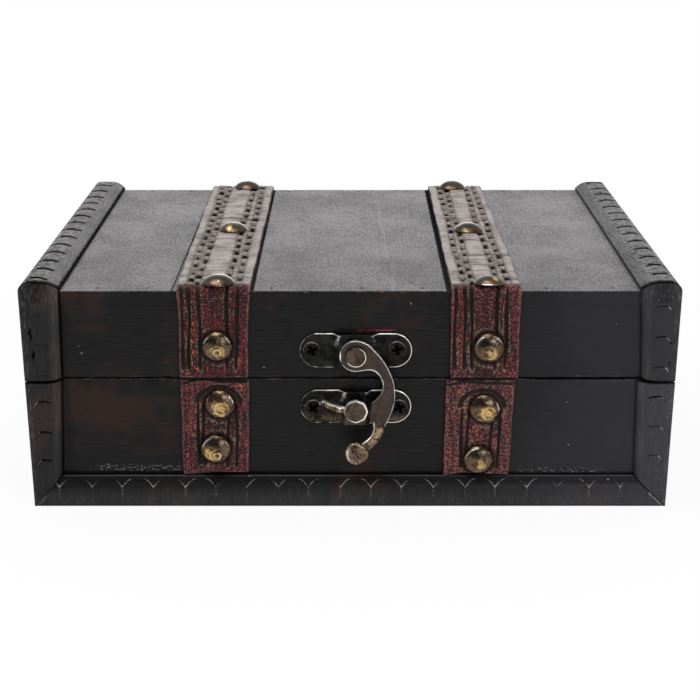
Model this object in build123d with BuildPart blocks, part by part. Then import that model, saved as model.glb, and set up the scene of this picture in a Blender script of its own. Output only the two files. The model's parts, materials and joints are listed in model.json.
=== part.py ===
# A ditty box: a small wooden box for papers and keepsakes, with a hinged lid, carved half-round
# bands on its front and along the ends of its top, two leather straps held by domed nails, two
# butt hinges and a swing hook. Millimetres. X runs along the front, Y from front to back and
# Z up. The origin is the middle of the box's underside.
from build123d import *
import math
import os

# ---- boards ----
box_width = 225.0
box_depth = 152.0
base_height = 47.0
lid_height = 31.4
seam_gap = 0.4
wall_t = 7.0
bottom_t = 4.0
top_t = 5.0
edge_round = 0.6

# ---- carved mouldings ----
moulding_height = 4.5
moulding_outer_lip = 2.0
moulding_inner_lip = 0.9
crown_start = 1.9
crown_fall = 3.8
upright_width = 13.0
foot_width = 12.3
notch_pitch = 10.7
notch_width = 0.8
notch_depth = 0.7
notch_reach = 8.2
first_notch = 7.2

# ---- leather ----
strap_width = 24.0
strap_t = 2.2
strap_x = {"left": -46.6, "right": 46.3}
tab_x = {"left": -47.3, "right": 45.1}
tab_tilt = 1.0
tab_gap = 0.3
leather_round = 0.5

# ---- domed nails ----
nail_head_r = 5.4
nail_dome = 2.6
nail_rim = 0.3
nail_shank_r = 0.65
nail_tip_cover = 0.6
nail_point = 1.4
# Each nail's distance from the strap's middle, then from the edge that it is measured from.
lid_face_nail = {"left": (0.9, 12.4), "right": (1.6, 11.9)}
upper_tab_nail = {"left": (1.9, 8.4), "right": (2.0, 10.2)}
lower_tab_nail = {"left": (0.1, 9.2), "right": (0.2, 6.0)}
front_top_nail = {"left": (1.5, 2.6), "right": (1.4, 1.6)}
middle_top_nail = {"left": (1.1, -2.0), "right": (-0.4, -2.4)}
back_top_nail = {"left": (1.6, 4.4), "right": (-1.6, 4.4)}

# ---- latch ----
latch_x = 2.0
pivot_rise = 9.8
hook_plate_lift = 0.6
catch_plate_offset = 0.8
plate_length = 39.0
plate_height = 12.5
plate_t = 1.0
bridge_rise = 2.2
hook_bridge_top = 5.1
hook_bridge_foot = 8.2
catch_bridge_top = 3.2
catch_bridge_foot = 6.0
screw_inset = 4.8
screw_head_r = 3.0
screw_rim = 0.5
screw_dome = 0.7
screw_shank_r = 1.1
screw_tip_cover = 2.0
screw_cross = (3.4, 0.75)
screw_cross_depth = 0.8

# ---- swing hook, its rivet and its finger pad ----
hook_t = 2.0
hook_float = 0.2
hook_eye_r = 5.6
pivot_r = 1.8
pivot_play = 0.06
rivet_head_r = 3.6
rivet_head_t = 1.2
rivet_tail_r = 2.8
rivet_tail_t = 0.8
home_angle = 7.0
notch_play = 0.3
pad_centre = (0.4, -34.7)
pad_r = 4.2
pad_behind_head = 0.6
pad_rim = 1.5
pad_dome = 1.6
pad_round = 0.5
tail_edge = 0.45
tail_root = (8.3, 5.2)
# Along the tail: its share of the way to the pad sideways, down and out, then its width and depth.
tail_stations = (
    (0.0, 0.0, 0.0, 4.0, 2.0),
    (0.05, 0.24, 0.25, 3.5, 2.0),
    (0.29, 0.53, 0.75, 2.9, 1.9),
    (0.62, 0.75, 1.0, 2.8, 1.9),
    (0.94, 0.93, 1.0, 2.8, 1.8),
)
# The arm's two edges from the rivet: a distance sideways, then a share of the post's drop.
arm_outer = ((7.1, 0.07), (11.0, -0.21), (13.3, -0.56), (13.4, -0.9), (10.3, -1.32))
arm_inner = ((5.3, -0.97), (8.7, -0.79), (9.8, -0.6), (8.2, -0.36), (4.6, -0.25))

# ---- catch post ----
post_drop = 19.4
post_stem_r = 1.8
post_head_r = 4.1
post_head_t = 2.0
post_head_gap = 0.8
post_bevel = 0.8
post_corner = 1.3
# The horn's middle line from the stem: sideways, up and out, then its radius.
horn_stations = (
    (0.0, -0.5, 0.0, 1.4),
    (-4.6, -0.5, 0.0, 1.4),
    (-8.2, 0.8, 0.5, 1.3),
    (-11.4, 2.4, 1.0, 1.0),
)

# ---- hinges ----
hinge_strap_gap = 6.7
hinge_width = 24.0
leaf_t = 0.8
leaf_height = 12.0
knuckle_r = 1.9
knuckle_play = 0.2
pin_r = 0.9
pin_play = 0.05
pin_head_r = 1.5
pin_head_t = 0.6
leaf_screw_head_r = 1.7
leaf_screw_rim = 0.2
leaf_screw_dome = 0.5
leaf_screw_shank_r = 0.7
leaf_screw_cross = (2.0, 0.45)
leaf_screw_cross_depth = 0.4
leaf_screw_inset = 4.5
leaf_screw_drop = 7.2

# ---- brads that hold the lid's top board ----
brad_r = 0.6
brad_grip = 4.0
# Their places along the board, as shares of half its width.
brad_row = (-0.77, -0.62, -0.24, 0.035, 0.22, 0.6, 0.8)

# ---- worked out from the sizes above ----
half_width = box_width / 2
front_y = -box_depth / 2
back_y = box_depth / 2
lid_z = base_height + seam_gap
top_z = lid_z + lid_height
seam_z = base_height + seam_gap / 2
pivot_z = seam_z + pivot_rise
hook_plate_z = pivot_z + hook_plate_lift
post_z = pivot_z - post_drop
catch_plate_z = post_z - catch_plate_offset
bridge_front = plate_t + bridge_rise
hook_back = bridge_front + hook_float
hook_front = hook_back + hook_t
post_head_back = hook_front + post_head_gap
pad_back = post_head_back + post_head_t - pad_behind_head
screw_step = plate_length / 2 - screw_inset
tab_foot_z = foot_width + tab_gap
nail_depth = strap_t + top_t - nail_tip_cover
screw_depth = plate_t + wall_t - screw_tip_cover
leaf_screw_depth = leaf_t + wall_t - screw_tip_cover
brad_depth = top_t + brad_grip
leather_reach = max(abs(x) for x in (*strap_x.values(), *tab_x.values())) + strap_width / 2
hinge_x = leather_reach + hinge_strap_gap + hinge_width / 2
leaf_screw_step = hinge_width / 2 - leaf_screw_inset
knuckle_length = hinge_width / 3
hinge_axis_y = back_y + knuckle_r + knuckle_play

os.makedirs("parts", exist_ok=True)


def front_plane(x, z, proud=0.0):
    """A plane on the front of the box that faces outwards, with its own Y upwards."""
    return Plane(origin=(x, front_y - proud, z), x_dir=(1, 0, 0), z_dir=(0, -1, 0))


def back_plane(x, z, proud=0.0):
    """A plane on the back of the box that faces outwards, with its own Y upwards."""
    return Plane(origin=(x, back_y + proud, z), x_dir=(-1, 0, 0), z_dir=(0, 1, 0))


def top_plane(x, y, proud=0.0):
    """A plane on the top of the lid that faces upwards."""
    return Plane(origin=(x, y, top_z + proud), x_dir=(1, 0, 0), z_dir=(0, 0, 1))


def write(piece, name):
    """Labels a finished piece and writes it."""
    piece.part.label = name
    export_step(piece.part, f"parts/{name}.step")


# ================= places of the fastenings =================
sides = ("left", "right")


def face_nails(middles, layout, face, height):
    """One nail in each strap on an upright face. height turns its measure into a level."""
    return [
        face(middles[side] + layout[side][0], height(layout[side][1]), strap_t) for side in sides
    ]


def top_nails(layout, measured):
    """One nail in each strap on the lid's top. measured turns its measure into a depth."""
    return [
        top_plane(strap_x[side] + layout[side][0], measured(layout[side][1]), strap_t)
        for side in sides
    ]


lid_front_nails = face_nails(strap_x, lid_face_nail, front_plane, lambda d: lid_z + d)
lid_back_nails = face_nails(strap_x, lid_face_nail, back_plane, lambda d: lid_z + d)
lid_top_nails = (
    top_nails(front_top_nail, lambda d: front_y + d)
    + top_nails(middle_top_nail, lambda d: d)
    + top_nails(back_top_nail, lambda d: back_y - d)
)
front_tab_nails = face_nails(
    tab_x, upper_tab_nail, front_plane, lambda d: base_height - d
) + face_nails(tab_x, lower_tab_nail, front_plane, lambda d: tab_foot_z + d)
back_tab_nails = face_nails(
    tab_x, upper_tab_nail, back_plane, lambda d: base_height - d
) + face_nails(tab_x, lower_tab_nail, back_plane, lambda d: tab_foot_z + d)

front_brads = [top_plane(share * half_width, front_y + wall_t / 2) for share in brad_row]
back_brads = [top_plane(share * half_width, back_y - wall_t / 2) for share in brad_row]


def latch_screw_places(z):
    """Where the two screws of one latch plate sit."""
    return [front_plane(latch_x + step, z, plate_t) for step in (-screw_step, screw_step)]


def leaf_screw_places(x, up):
    """Where the two screws of a hinge leaf sit. up is 1 for the lid's leaf, -1 for the base's."""
    return [
        back_plane(x + step, seam_z + up * leaf_screw_drop, leaf_t)
        for step in (-leaf_screw_step, leaf_screw_step)
    ]


hook_plate_screws = latch_screw_places(hook_plate_z)
catch_plate_screws = latch_screw_places(catch_plate_z)
hinge_lid_screws = leaf_screw_places(-hinge_x, 1) + leaf_screw_places(hinge_x, 1)
hinge_base_screws = leaf_screw_places(-hinge_x, -1) + leaf_screw_places(hinge_x, -1)


# ================= boards =================
def make_board(name, size, middle, holes=()):
    """A board with softened edges. An entry of holes is a list of places, a radius and a depth."""
    with BuildPart() as piece:
        with Locations(middle):
            Box(*size)
        fillet(piece.edges(), radius=edge_round)
        for places, radius, depth in holes:
            with Locations(*places):
                Hole(radius=radius, depth=depth)
    write(piece, name)


def make_boards():
    """Five boards for the base and five for the lid."""
    base_wall = base_height - bottom_t
    lid_wall = lid_height - top_t
    base_middle = bottom_t + base_wall / 2
    lid_middle = lid_z + lid_wall / 2
    wall_y = (box_depth - wall_t) / 2
    wall_x = (box_width - wall_t) / 2
    inner_depth = box_depth - 2 * wall_t

    make_board(
        "base_bottom_board", (box_width, box_depth, bottom_t), (0, 0, bottom_t / 2)
    )
    make_board(
        "base_front_board",
        (box_width, wall_t, base_wall),
        (0, -wall_y, base_middle),
        (
            (front_tab_nails, nail_shank_r, nail_depth),
            (catch_plate_screws, screw_shank_r, screw_depth),
        ),
    )
    make_board(
        "base_back_board",
        (box_width, wall_t, base_wall),
        (0, wall_y, base_middle),
        (
            (back_tab_nails, nail_shank_r, nail_depth),
            (hinge_base_screws, leaf_screw_shank_r, leaf_screw_depth),
        ),
    )
    make_board(
        "lid_top_board",
        (box_width, box_depth, top_t),
        (0, 0, top_z - top_t / 2),
        (
            (lid_top_nails, nail_shank_r, nail_depth),
            (front_brads + back_brads, brad_r, brad_depth),
        ),
    )
    make_board(
        "lid_front_board",
        (box_width, wall_t, lid_wall),
        (0, -wall_y, lid_middle),
        (
            (lid_front_nails, nail_shank_r, nail_depth),
            (hook_plate_screws, screw_shank_r, screw_depth),
            (front_brads, brad_r, brad_depth),
        ),
    )
    make_board(
        "lid_back_board",
        (box_width, wall_t, lid_wall),
        (0, wall_y, lid_middle),
        (
            (lid_back_nails, nail_shank_r, nail_depth),
            (hinge_lid_screws, leaf_screw_shank_r, leaf_screw_depth),
            (back_brads, brad_r, brad_depth),
        ),
    )
    for side, sign in (("left", -1), ("right", 1)):
        make_board(
            f"base_{side}_board", (wall_t, inner_depth, base_wall), (sign * wall_x, 0, base_middle)
        )
        make_board(
            f"lid_{side}_board", (wall_t, inner_depth, lid_wall), (sign * wall_x, 0, lid_middle)
        )


# ================= mouldings =================
def moulding_section(width):
    """The half-round section, with its outer edge at X 0 and its flat back along X."""
    crown_end = width - crown_fall
    with BuildSketch() as section:
        with BuildLine():
            Polyline((width, moulding_inner_lip), (width, 0), (0, 0), (0, moulding_outer_lip))
            ThreePointArc(
                (0, moulding_outer_lip),
                (crown_start * 0.32, moulding_height * 0.82),
                (crown_start, moulding_height * 0.96),
            )
            ThreePointArc(
                (crown_start, moulding_height * 0.96),
                ((crown_start + crown_end) / 2, moulding_height),
                (crown_end, moulding_height * 0.94),
            )
            ThreePointArc(
                (crown_end, moulding_height * 0.94),
                (crown_end + crown_fall * 0.62, moulding_height * 0.62),
                (width, moulding_inner_lip),
            )
        make_face()
    return section.sketch


def notch_section(width):
    """What one carved notch takes off the section, from its outer edge inwards."""
    with BuildSketch() as cut:
        with Locations((notch_reach / 2 - notch_depth, moulding_height / 2)):
            Rectangle(notch_reach + 2 * notch_depth, 2 * moulding_height)
        offset(moulding_section(width), -notch_depth, mode=Mode.SUBTRACT)
        with Locations((0, -moulding_height)):
            Rectangle(4 * notch_reach, 2 * moulding_height, mode=Mode.SUBTRACT)
    return cut.sketch


def make_moulding(name, width, start, across, outward, length, mitres):
    """A strip of moulding from start, its outer edge there. Mitres cut away their positive side."""
    section_plane = Plane(origin=start, x_dir=across, z_dir=Vector(across).cross(Vector(outward)))
    notch_count = int((length - first_notch) / notch_pitch) + 1
    with BuildPart() as piece:
        with BuildSketch(section_plane):
            add(moulding_section(width))
        extrude(amount=length)
        for i in range(notch_count):
            distance = first_notch + i * notch_pitch
            with BuildSketch(section_plane.offset(distance - notch_width / 2)):
                add(notch_section(width))
            extrude(amount=notch_width, mode=Mode.SUBTRACT)
        for mitre in mitres:
            split(bisect_by=mitre, keep=Keep.BOTTOM)
    write(piece, name)


def make_mouldings():
    """The bands at both ends of the front and the top, and the one along the front's foot."""
    lid_edge = (0, front_y, top_z)
    foot_cuts = []
    for side, sign in (("left", -1), ("right", 1)):
        corner = sign * half_width
        inward = (-sign, 0, 0)
        rising = sign > 0
        base_corner = (corner, front_y, 0)
        base_top = (corner, front_y, base_height)
        foot_mitre = Plane(
            origin=base_corner, x_dir=(0, 1, 0), z_dir=(sign * foot_width, 0, upright_width)
        )
        foot_cuts.append(foot_mitre)
        make_moulding(
            f"base_{side}_moulding",
            upright_width,
            base_corner if rising else base_top,
            inward,
            (0, -1, 0),
            base_height,
            [Plane(origin=base_corner, x_dir=(0, 1, 0), z_dir=-foot_mitre.z_dir)],
        )
        make_moulding(
            f"lid_{side}_moulding",
            upright_width,
            (corner, front_y, lid_z if rising else top_z + moulding_height),
            inward,
            (0, -1, 0),
            lid_height + moulding_height,
            [Plane(origin=lid_edge, x_dir=(1, 0, 0), z_dir=(0, 1, 1))],
        )
        make_moulding(
            f"top_{side}_moulding",
            upright_width,
            (corner, front_y - moulding_height if rising else back_y, top_z),
            inward,
            (0, 0, 1),
            box_depth + moulding_height,
            [Plane(origin=lid_edge, x_dir=(1, 0, 0), z_dir=(0, -1, -1))],
        )
    make_moulding(
        "base_foot_moulding",
        foot_width,
        (-half_width, front_y, 0),
        (0, 0, 1),
        (0, -1, 0),
        box_width,
        foot_cuts,
    )


# ================= leather =================
def cut_nail_holes(nails, middle):
    """Opens the nail holes that fall on the strap being built round this middle."""
    with Locations(*[nail for nail in nails if abs(nail.origin.X - middle) < strap_width / 2]):
        Hole(radius=nail_shank_r, depth=nail_depth)


def make_strap(name, middle):
    """A strap that runs up the lid's front, across its top and down its back."""
    end_z = lid_z + tab_gap
    with BuildPart() as piece:
        with BuildSketch(Plane.YZ.offset(middle - strap_width / 2)):
            with BuildLine() as run:
                FilletPolyline(
                    (front_y, end_z),
                    (front_y, top_z),
                    (back_y, top_z),
                    (back_y, end_z),
                    radius=edge_round,
                )
                offset(run.line, amount=strap_t, side=Side.LEFT)
            make_face()
        extrude(amount=strap_width)
        fillet(piece.faces().filter_by(Axis.X).edges(), radius=leather_round)
        cut_nail_holes(lid_front_nails + lid_top_nails + lid_back_nails, middle)
    write(piece, name)


def make_tab(name, middle, face, lean, nails):
    """The short end of a strap on the base, which leans a little."""
    length = base_height - tab_gap - tab_foot_z
    with BuildPart() as piece:
        with BuildSketch(face(middle, tab_foot_z + length / 2)):
            with Locations(Location((0, 0), lean)):
                Rectangle(strap_width, length)
        extrude(amount=strap_t)
        fillet(piece.faces().filter_by(Axis.Y).edges(), radius=leather_round)
        cut_nail_holes(nails, middle)
    write(piece, name)


def make_leather():
    """Two straps over the lid, two tabs under their front ends and two under their back ends."""
    for side in sides:
        make_strap(f"lid_{side}_strap", strap_x[side])
        make_tab(f"front_{side}_tab", tab_x[side], front_plane, -tab_tilt, front_tab_nails)
        make_tab(f"back_{side}_tab", tab_x[side], back_plane, 0, back_tab_nails)


# ================= nails, screws and brads =================
def cap_point(radius, rise, share):
    """A point on a spherical cap of this radius and rise, at a share of its angle from the rim."""
    sphere_r = (radius**2 + rise**2) / (2 * rise)
    angle = math.asin(radius / sphere_r) * (1 - share)
    return sphere_r * math.sin(angle), rise - sphere_r * (1 - math.cos(angle))


def headed_pin(head_r, rim, dome, shank_r, depth, point=0.0):
    """A domed head with a shank below it, its head's underside at Z 0."""
    middle_x, middle_z = cap_point(head_r, dome, 0.5)
    with BuildPart() as pin:
        with BuildSketch(Plane.XZ):
            with BuildLine():
                ThreePointArc((head_r, rim), (middle_x, rim + middle_z), (0, rim + dome))
                Polyline(
                    (0, rim + dome),
                    (0, -depth),
                    (shank_r / 4, -depth),
                    (shank_r, point - depth - 0.01),
                    (shank_r, 0),
                    (head_r, 0),
                    (head_r, rim),
                )
            make_face()
        revolve(axis=Axis.Z)
    return pin.part


def cross_recess(size, top, depth):
    """A cross for a screwdriver, sunk from a level down."""
    length, width = size
    with BuildPart() as cross:
        with Locations((0, 0, top - depth)):
            Box(length, width, 2 * depth, align=(Align.CENTER, Align.CENTER, Align.MIN))
            Box(width, length, 2 * depth, align=(Align.CENTER, Align.CENTER, Align.MIN))
    return cross.part


def make_group(name, pattern, places):
    """The same fastener at each of its places."""
    with BuildPart() as piece:
        with Locations(*places):
            add(pattern)
    write(piece, name)


def make_fastenings():
    """Nails in the leather, screws in the latch and the hinges, and brads in the top board."""
    nail = headed_pin(nail_head_r, nail_rim, nail_dome, nail_shank_r, nail_depth, nail_point)
    lid_nails = lid_front_nails + lid_top_nails + lid_back_nails
    make_group("lid_left_nails", nail, [place for place in lid_nails if place.origin.X < 0])
    make_group("lid_right_nails", nail, [place for place in lid_nails if place.origin.X > 0])
    make_group("front_tab_nails", nail, front_tab_nails)
    make_group("back_tab_nails", nail, back_tab_nails)

    latch_screw = headed_pin(
        screw_head_r, screw_rim, screw_dome, screw_shank_r, screw_depth, screw_shank_r
    ) - cross_recess(screw_cross, screw_rim + screw_dome, screw_cross_depth)
    make_group("hook_plate_screws", latch_screw, hook_plate_screws)
    make_group("catch_plate_screws", latch_screw, catch_plate_screws)

    leaf_screw = headed_pin(
        leaf_screw_head_r,
        leaf_screw_rim,
        leaf_screw_dome,
        leaf_screw_shank_r,
        leaf_screw_depth,
        leaf_screw_shank_r,
    ) - cross_recess(leaf_screw_cross, leaf_screw_rim + leaf_screw_dome, leaf_screw_cross_depth)
    make_group("hinge_lid_screws", leaf_screw, hinge_lid_screws)
    make_group("hinge_base_screws", leaf_screw, hinge_base_screws)

    with BuildPart() as brad:
        Cylinder(brad_r, brad_depth, align=(Align.CENTER, Align.CENTER, Align.MAX))
    make_group("top_board_brads", brad.part, front_brads + back_brads)


# ================= latch =================
def make_latch_plate(name, z, bridge_top, bridge_foot, screws, pin_z, pin_radius):
    """A rounded plate of sheet metal whose middle is raised into a bridge, with its holes."""
    reach = plate_length / 2
    with BuildPart() as piece:
        with BuildSketch(Plane(origin=(latch_x, front_y, z - plate_height / 2))):
            with BuildLine() as back:
                Polyline(
                    (-reach, 0),
                    (-bridge_foot, 0),
                    (-bridge_top, -bridge_rise),
                    (bridge_top, -bridge_rise),
                    (bridge_foot, 0),
                    (reach, 0),
                )
                offset(back.line, amount=plate_t, side=Side.RIGHT)
            make_face()
        extrude(amount=plate_height)
        with BuildSketch(front_plane(latch_x, z)):
            SlotOverall(plate_length, plate_height)
        extrude(amount=2 * bridge_front, mode=Mode.INTERSECT)
        with Locations(*screws):
            Hole(radius=screw_shank_r, depth=plate_t)
        with Locations(front_plane(latch_x, pin_z, bridge_front)):
            Hole(radius=pin_radius, depth=plate_t)
    write(piece, name)


def path_planes(points, across):
    """Planes along a line of points, each square to the line there, with X near across."""
    planes = []
    for i, point in enumerate(points):
        before = points[max(i - 1, 0)]
        after = points[min(i + 1, len(points) - 1)]
        planes.append(Plane(origin=point, x_dir=across, z_dir=after - before))
    return planes


def finger_pad():
    """A small round pad, its back at Z 0 and its front domed."""
    top = pad_rim + pad_dome
    middle_x, middle_z = cap_point(pad_r, pad_dome, 0.5)
    with BuildPart() as pad:
        with BuildSketch(Plane.XZ):
            with BuildLine():
                ThreePointArc((pad_r, pad_rim), (middle_x, pad_rim + middle_z), (0, top))
                Polyline((0, top), (0, 0), (pad_r - pad_round, 0), (pad_r, pad_round))
                Line((pad_r, pad_round), (pad_r, pad_rim))
            make_face()
        revolve(axis=Axis.Z)
    return pad.part


def make_hook():
    """The swing hook: an eye, a bowed arm with a tooth, a tail that leans out, and a finger pad."""
    home = math.radians(home_angle)
    notch = (post_drop * math.sin(home), -post_drop * math.cos(home))
    notch_r = post_stem_r + notch_play
    outer = [(x, share * post_drop) for x, share in arm_outer]
    inner = [(x, share * post_drop) for x, share in arm_inner]
    eye_top = (0.43 * hook_eye_r, 0.9 * hook_eye_r)
    eye_foot = (0.09 * hook_eye_r, -0.93 * hook_eye_r)
    arm_middle = (hook_back + hook_front) / 2
    root = Vector(tail_root[0], arm_middle, -post_drop - tail_root[1])
    reach = Vector(pad_centre[0], pad_back + pad_rim / 2, pad_centre[1]) - root
    tail_points = [
        Vector(
            latch_x + root.X + across * reach.X,
            front_y - root.Y - out * reach.Y,
            pivot_z + root.Z + down * reach.Z,
        )
        for across, down, out, _, _ in tail_stations
    ]
    with BuildPart() as piece:
        with BuildSketch(front_plane(latch_x, pivot_z, hook_back)):
            Circle(hook_eye_r)
            with BuildLine():
                Spline(eye_top, *outer)
                Polyline(
                    outer[-1],
                    (root.X - 2, root.Z),
                    (notch_r, notch[1] - notch_r - 1.9),
                    (notch_r, notch[1] - notch_r / 2),
                    inner[0],
                )
                Spline(*inner, eye_foot)
                Line(eye_foot, eye_top)
            make_face()
            with Locations(notch):
                Circle(notch_r, mode=Mode.SUBTRACT)
            Circle(pivot_r + pivot_play, mode=Mode.SUBTRACT)
        extrude(amount=hook_t)
        for plane, station in zip(path_planes(tail_points, (1, 0, -0.5)), tail_stations):
            with BuildSketch(plane):
                RectangleRounded(station[3], station[4], tail_edge)
        loft()
        with Locations(front_plane(latch_x + pad_centre[0], pivot_z + pad_centre[1], pad_back)):
            add(finger_pad())
    write(piece, "swing_hook")


def make_rivet():
    """The rivet that the hook turns on, spread behind the bridge of its plate."""
    head_back = hook_front + hook_float
    with BuildPart() as piece:
        for r, low, high in (
            (rivet_tail_r, bridge_rise - rivet_tail_t, bridge_rise),
            (pivot_r, bridge_rise, head_back),
            (rivet_head_r, head_back, head_back + rivet_head_t),
        ):
            with BuildSketch(front_plane(latch_x, pivot_z, low)):
                Circle(r)
            extrude(amount=high - low)
        chamfer(piece.edges().sort_by(Axis.Y)[0], length=rivet_head_t / 4)
    write(piece, "hook_rivet")


def make_post():
    """The catch post: a riveted stem, a bevelled eight-sided head, and a horn to one side."""
    horn_out = (bridge_front + post_head_back) / 2
    horn_points = [
        Vector(latch_x + x, front_y - horn_out - out, post_z + z)
        for x, z, out, _ in horn_stations
    ]
    with BuildPart() as piece:
        with BuildSketch(front_plane(latch_x, post_z, post_head_back)) as head:
            RegularPolygon(post_head_r, 8, major_radius=False, rotation=22.5)
            fillet(head.vertices(), radius=post_corner)
        extrude(amount=post_head_t)
        chamfer(piece.faces().sort_by(Axis.Y)[0].edges(), length=post_bevel)
        with BuildSketch(front_plane(latch_x, post_z, bridge_rise - rivet_tail_t)):
            Circle(rivet_tail_r)
        extrude(amount=rivet_tail_t)
        with BuildSketch(front_plane(latch_x, post_z, bridge_rise)):
            Circle(post_stem_r)
        extrude(amount=post_head_back - bridge_rise)
        for plane, station in zip(path_planes(horn_points, (0, 0, 1)), horn_stations):
            with BuildSketch(plane):
                Circle(station[3])
        loft()
        with Locations(horn_points[-1]):
            Sphere(horn_stations[-1][3])
    write(piece, "catch_post")


# ================= hinges =================
def x_cylinder(radius, length, x, mode=Mode.ADD):
    """A cylinder along the hinge line."""
    with Locations(Location((x, hinge_axis_y, seam_z), (0, 90, 0))):
        Cylinder(radius, length, mode=mode)


def make_leaf(name, x, up, own_knuckles, other_knuckles, bore_r):
    """One leaf of a butt hinge. up is 1 over the seam and -1 under it. Knuckles are steps in x."""
    screws = leaf_screw_places(x, up)
    with BuildPart() as piece:
        with Locations((x, back_y + leaf_t / 2, seam_z + up * leaf_height / 2)):
            Box(hinge_width, leaf_t, leaf_height)
        fillet(piece.edges().filter_by(Axis.Y).group_by(Axis.Z)[-1 if up > 0 else 0], leaf_t)
        for step in own_knuckles:
            x_cylinder(knuckle_r, knuckle_length, x + step)
        for step in other_knuckles:
            x_cylinder(
                knuckle_r + knuckle_play, knuckle_length + 2 * knuckle_play, x + step, Mode.SUBTRACT
            )
        x_cylinder(bore_r, 2 * hinge_width, x, Mode.SUBTRACT)
        with Locations(*screws):
            Hole(radius=leaf_screw_shank_r, depth=leaf_t)
    write(piece, name)


def make_hinges():
    """Two butt hinges on the back, each of two leaves and a headed pin."""
    outer = (-knuckle_length, knuckle_length)
    for side, sign in (("left", -1), ("right", 1)):
        x = sign * hinge_x
        make_leaf(f"{side}_hinge_base_leaf", x, -1, outer, (0,), pin_r)
        make_leaf(f"{side}_hinge_lid_leaf", x, 1, (0,), outer, pin_r + pin_play)
        with BuildPart() as pin:
            x_cylinder(pin_r, hinge_width, x)
            for end in (-1, 1):
                x_cylinder(pin_head_r, pin_head_t, x + end * (hinge_width + pin_head_t) / 2)
        write(pin, f"{side}_hinge_pin")


make_boards()
make_mouldings()
make_leather()
make_fastenings()
make_latch_plate(
    "hook_plate",
    hook_plate_z,
    hook_bridge_top,
    hook_bridge_foot,
    hook_plate_screws,
    pivot_z,
    pivot_r,
)
make_latch_plate(
    "catch_plate",
    catch_plate_z,
    catch_bridge_top,
    catch_bridge_foot,
    catch_plate_screws,
    post_z,
    post_stem_r,
)
make_hook()
make_rivet()
make_post()
make_hinges()
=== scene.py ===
import bpy
import bmesh
import json
import math
from types import SimpleNamespace
import numpy as np
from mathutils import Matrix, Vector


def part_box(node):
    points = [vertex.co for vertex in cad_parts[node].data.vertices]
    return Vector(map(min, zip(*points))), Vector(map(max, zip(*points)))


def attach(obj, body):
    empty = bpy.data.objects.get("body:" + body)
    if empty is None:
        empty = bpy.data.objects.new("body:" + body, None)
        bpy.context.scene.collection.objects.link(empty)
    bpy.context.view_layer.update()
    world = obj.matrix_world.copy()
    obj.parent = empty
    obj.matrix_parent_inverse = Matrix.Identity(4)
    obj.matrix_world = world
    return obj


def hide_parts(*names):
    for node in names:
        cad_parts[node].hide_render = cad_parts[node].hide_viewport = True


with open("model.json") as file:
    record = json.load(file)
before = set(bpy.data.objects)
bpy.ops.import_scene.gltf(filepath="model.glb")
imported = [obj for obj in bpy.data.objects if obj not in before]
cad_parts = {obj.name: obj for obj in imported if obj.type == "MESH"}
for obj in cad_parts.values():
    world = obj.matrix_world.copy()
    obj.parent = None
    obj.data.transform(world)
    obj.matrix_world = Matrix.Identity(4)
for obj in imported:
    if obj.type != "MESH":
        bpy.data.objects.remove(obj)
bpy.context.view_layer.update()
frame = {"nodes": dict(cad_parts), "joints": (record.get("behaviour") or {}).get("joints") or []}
print("frame loaded,", len(frame["nodes"]), "nodes")

mm = 0.001


# The lowest and highest corner of a node, in millimetres.
def nodeBox(node):
    low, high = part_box(node)
    return np.array(low) / mm, np.array(high) / mm


boardLow, boardHigh = nodeBox("lid_top_board")
halfWidth = boardHigh[0]
frontY, backY = boardLow[1], boardHigh[1]
topZ = boardHigh[2]
baseTop = nodeBox("base_front_board")[1][2]
lidFoot = nodeBox("lid_front_board")[0][2]


# How far a node stands out from the box's front.
def proudness(node):
    return frontY - nodeBox(node)[0][1]


# A closed skin over a row of rings. Each end is capped, or folded flat onto itself.
def skin(rings, marks, folded=False):
    rows, count = rings.shape[:2]
    at = np.arange(rows * count).reshape(rows, count)
    beside = np.roll(at, -1, 1)
    faces = np.stack([at[:-1], beside[:-1], beside[1:], at[1:]], -1).reshape(-1, 4).tolist()
    for end in (at[0].tolist(), at[-1].tolist()):
        if folded:
            back = end[::-1]
            faces += [[end[i], end[i + 1], back[i + 1], back[i]] for i in range(count // 2 - 1)]
        else:
            faces.append(end)
    return {"points": rings.reshape(-1, 3), "faces": faces, "marks": marks}


# One object from its skins. Marks are values at the points that the finishes read, and a
# mark that no skin gives is zero all over.
def makePiece(node, kind, skins, finish, body, sharpAngle=50):
    name = f"{node}_{kind}"
    points, faces, marks = [], [], {}
    start = 0
    for part in skins:
        points.append(part["points"])
        faces += [[i + start for i in face] for face in part["faces"]]
        for mark, values in part["marks"].items():
            marks.setdefault(mark, []).append((start, values.reshape(-1)))
        start += len(part["points"])
    mesh = bpy.data.meshes.new(name)
    mesh.from_pydata(np.concatenate(points) * mm, [], faces)
    shell = bmesh.new()
    shell.from_mesh(mesh)
    bmesh.ops.recalc_face_normals(shell, faces=shell.faces)
    shell.to_mesh(mesh)
    shell.free()
    for mark, runs in marks.items():
        values = np.zeros(start, np.float32)
        for first, run in runs:
            values[first : first + len(run)] = run
        mesh.attributes.new(mark, "FLOAT", "POINT").data.foreach_set("value", values)
    mesh.shade_smooth()
    mesh.set_sharp_from_angle(angle=math.radians(sharpAngle))
    mesh.materials.append(finish)
    piece = bpy.data.objects.new(name, mesh)
    bpy.context.scene.collection.objects.link(piece)
    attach(piece, body)
    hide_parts(node)


def bell(distance, width):
    return np.exp(-((distance / width) ** 2))


def ease(value, low, high):
    share = np.clip((value - low) / (high - low), 0, 1)
    return share * share * (3 - 2 * share)


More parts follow.
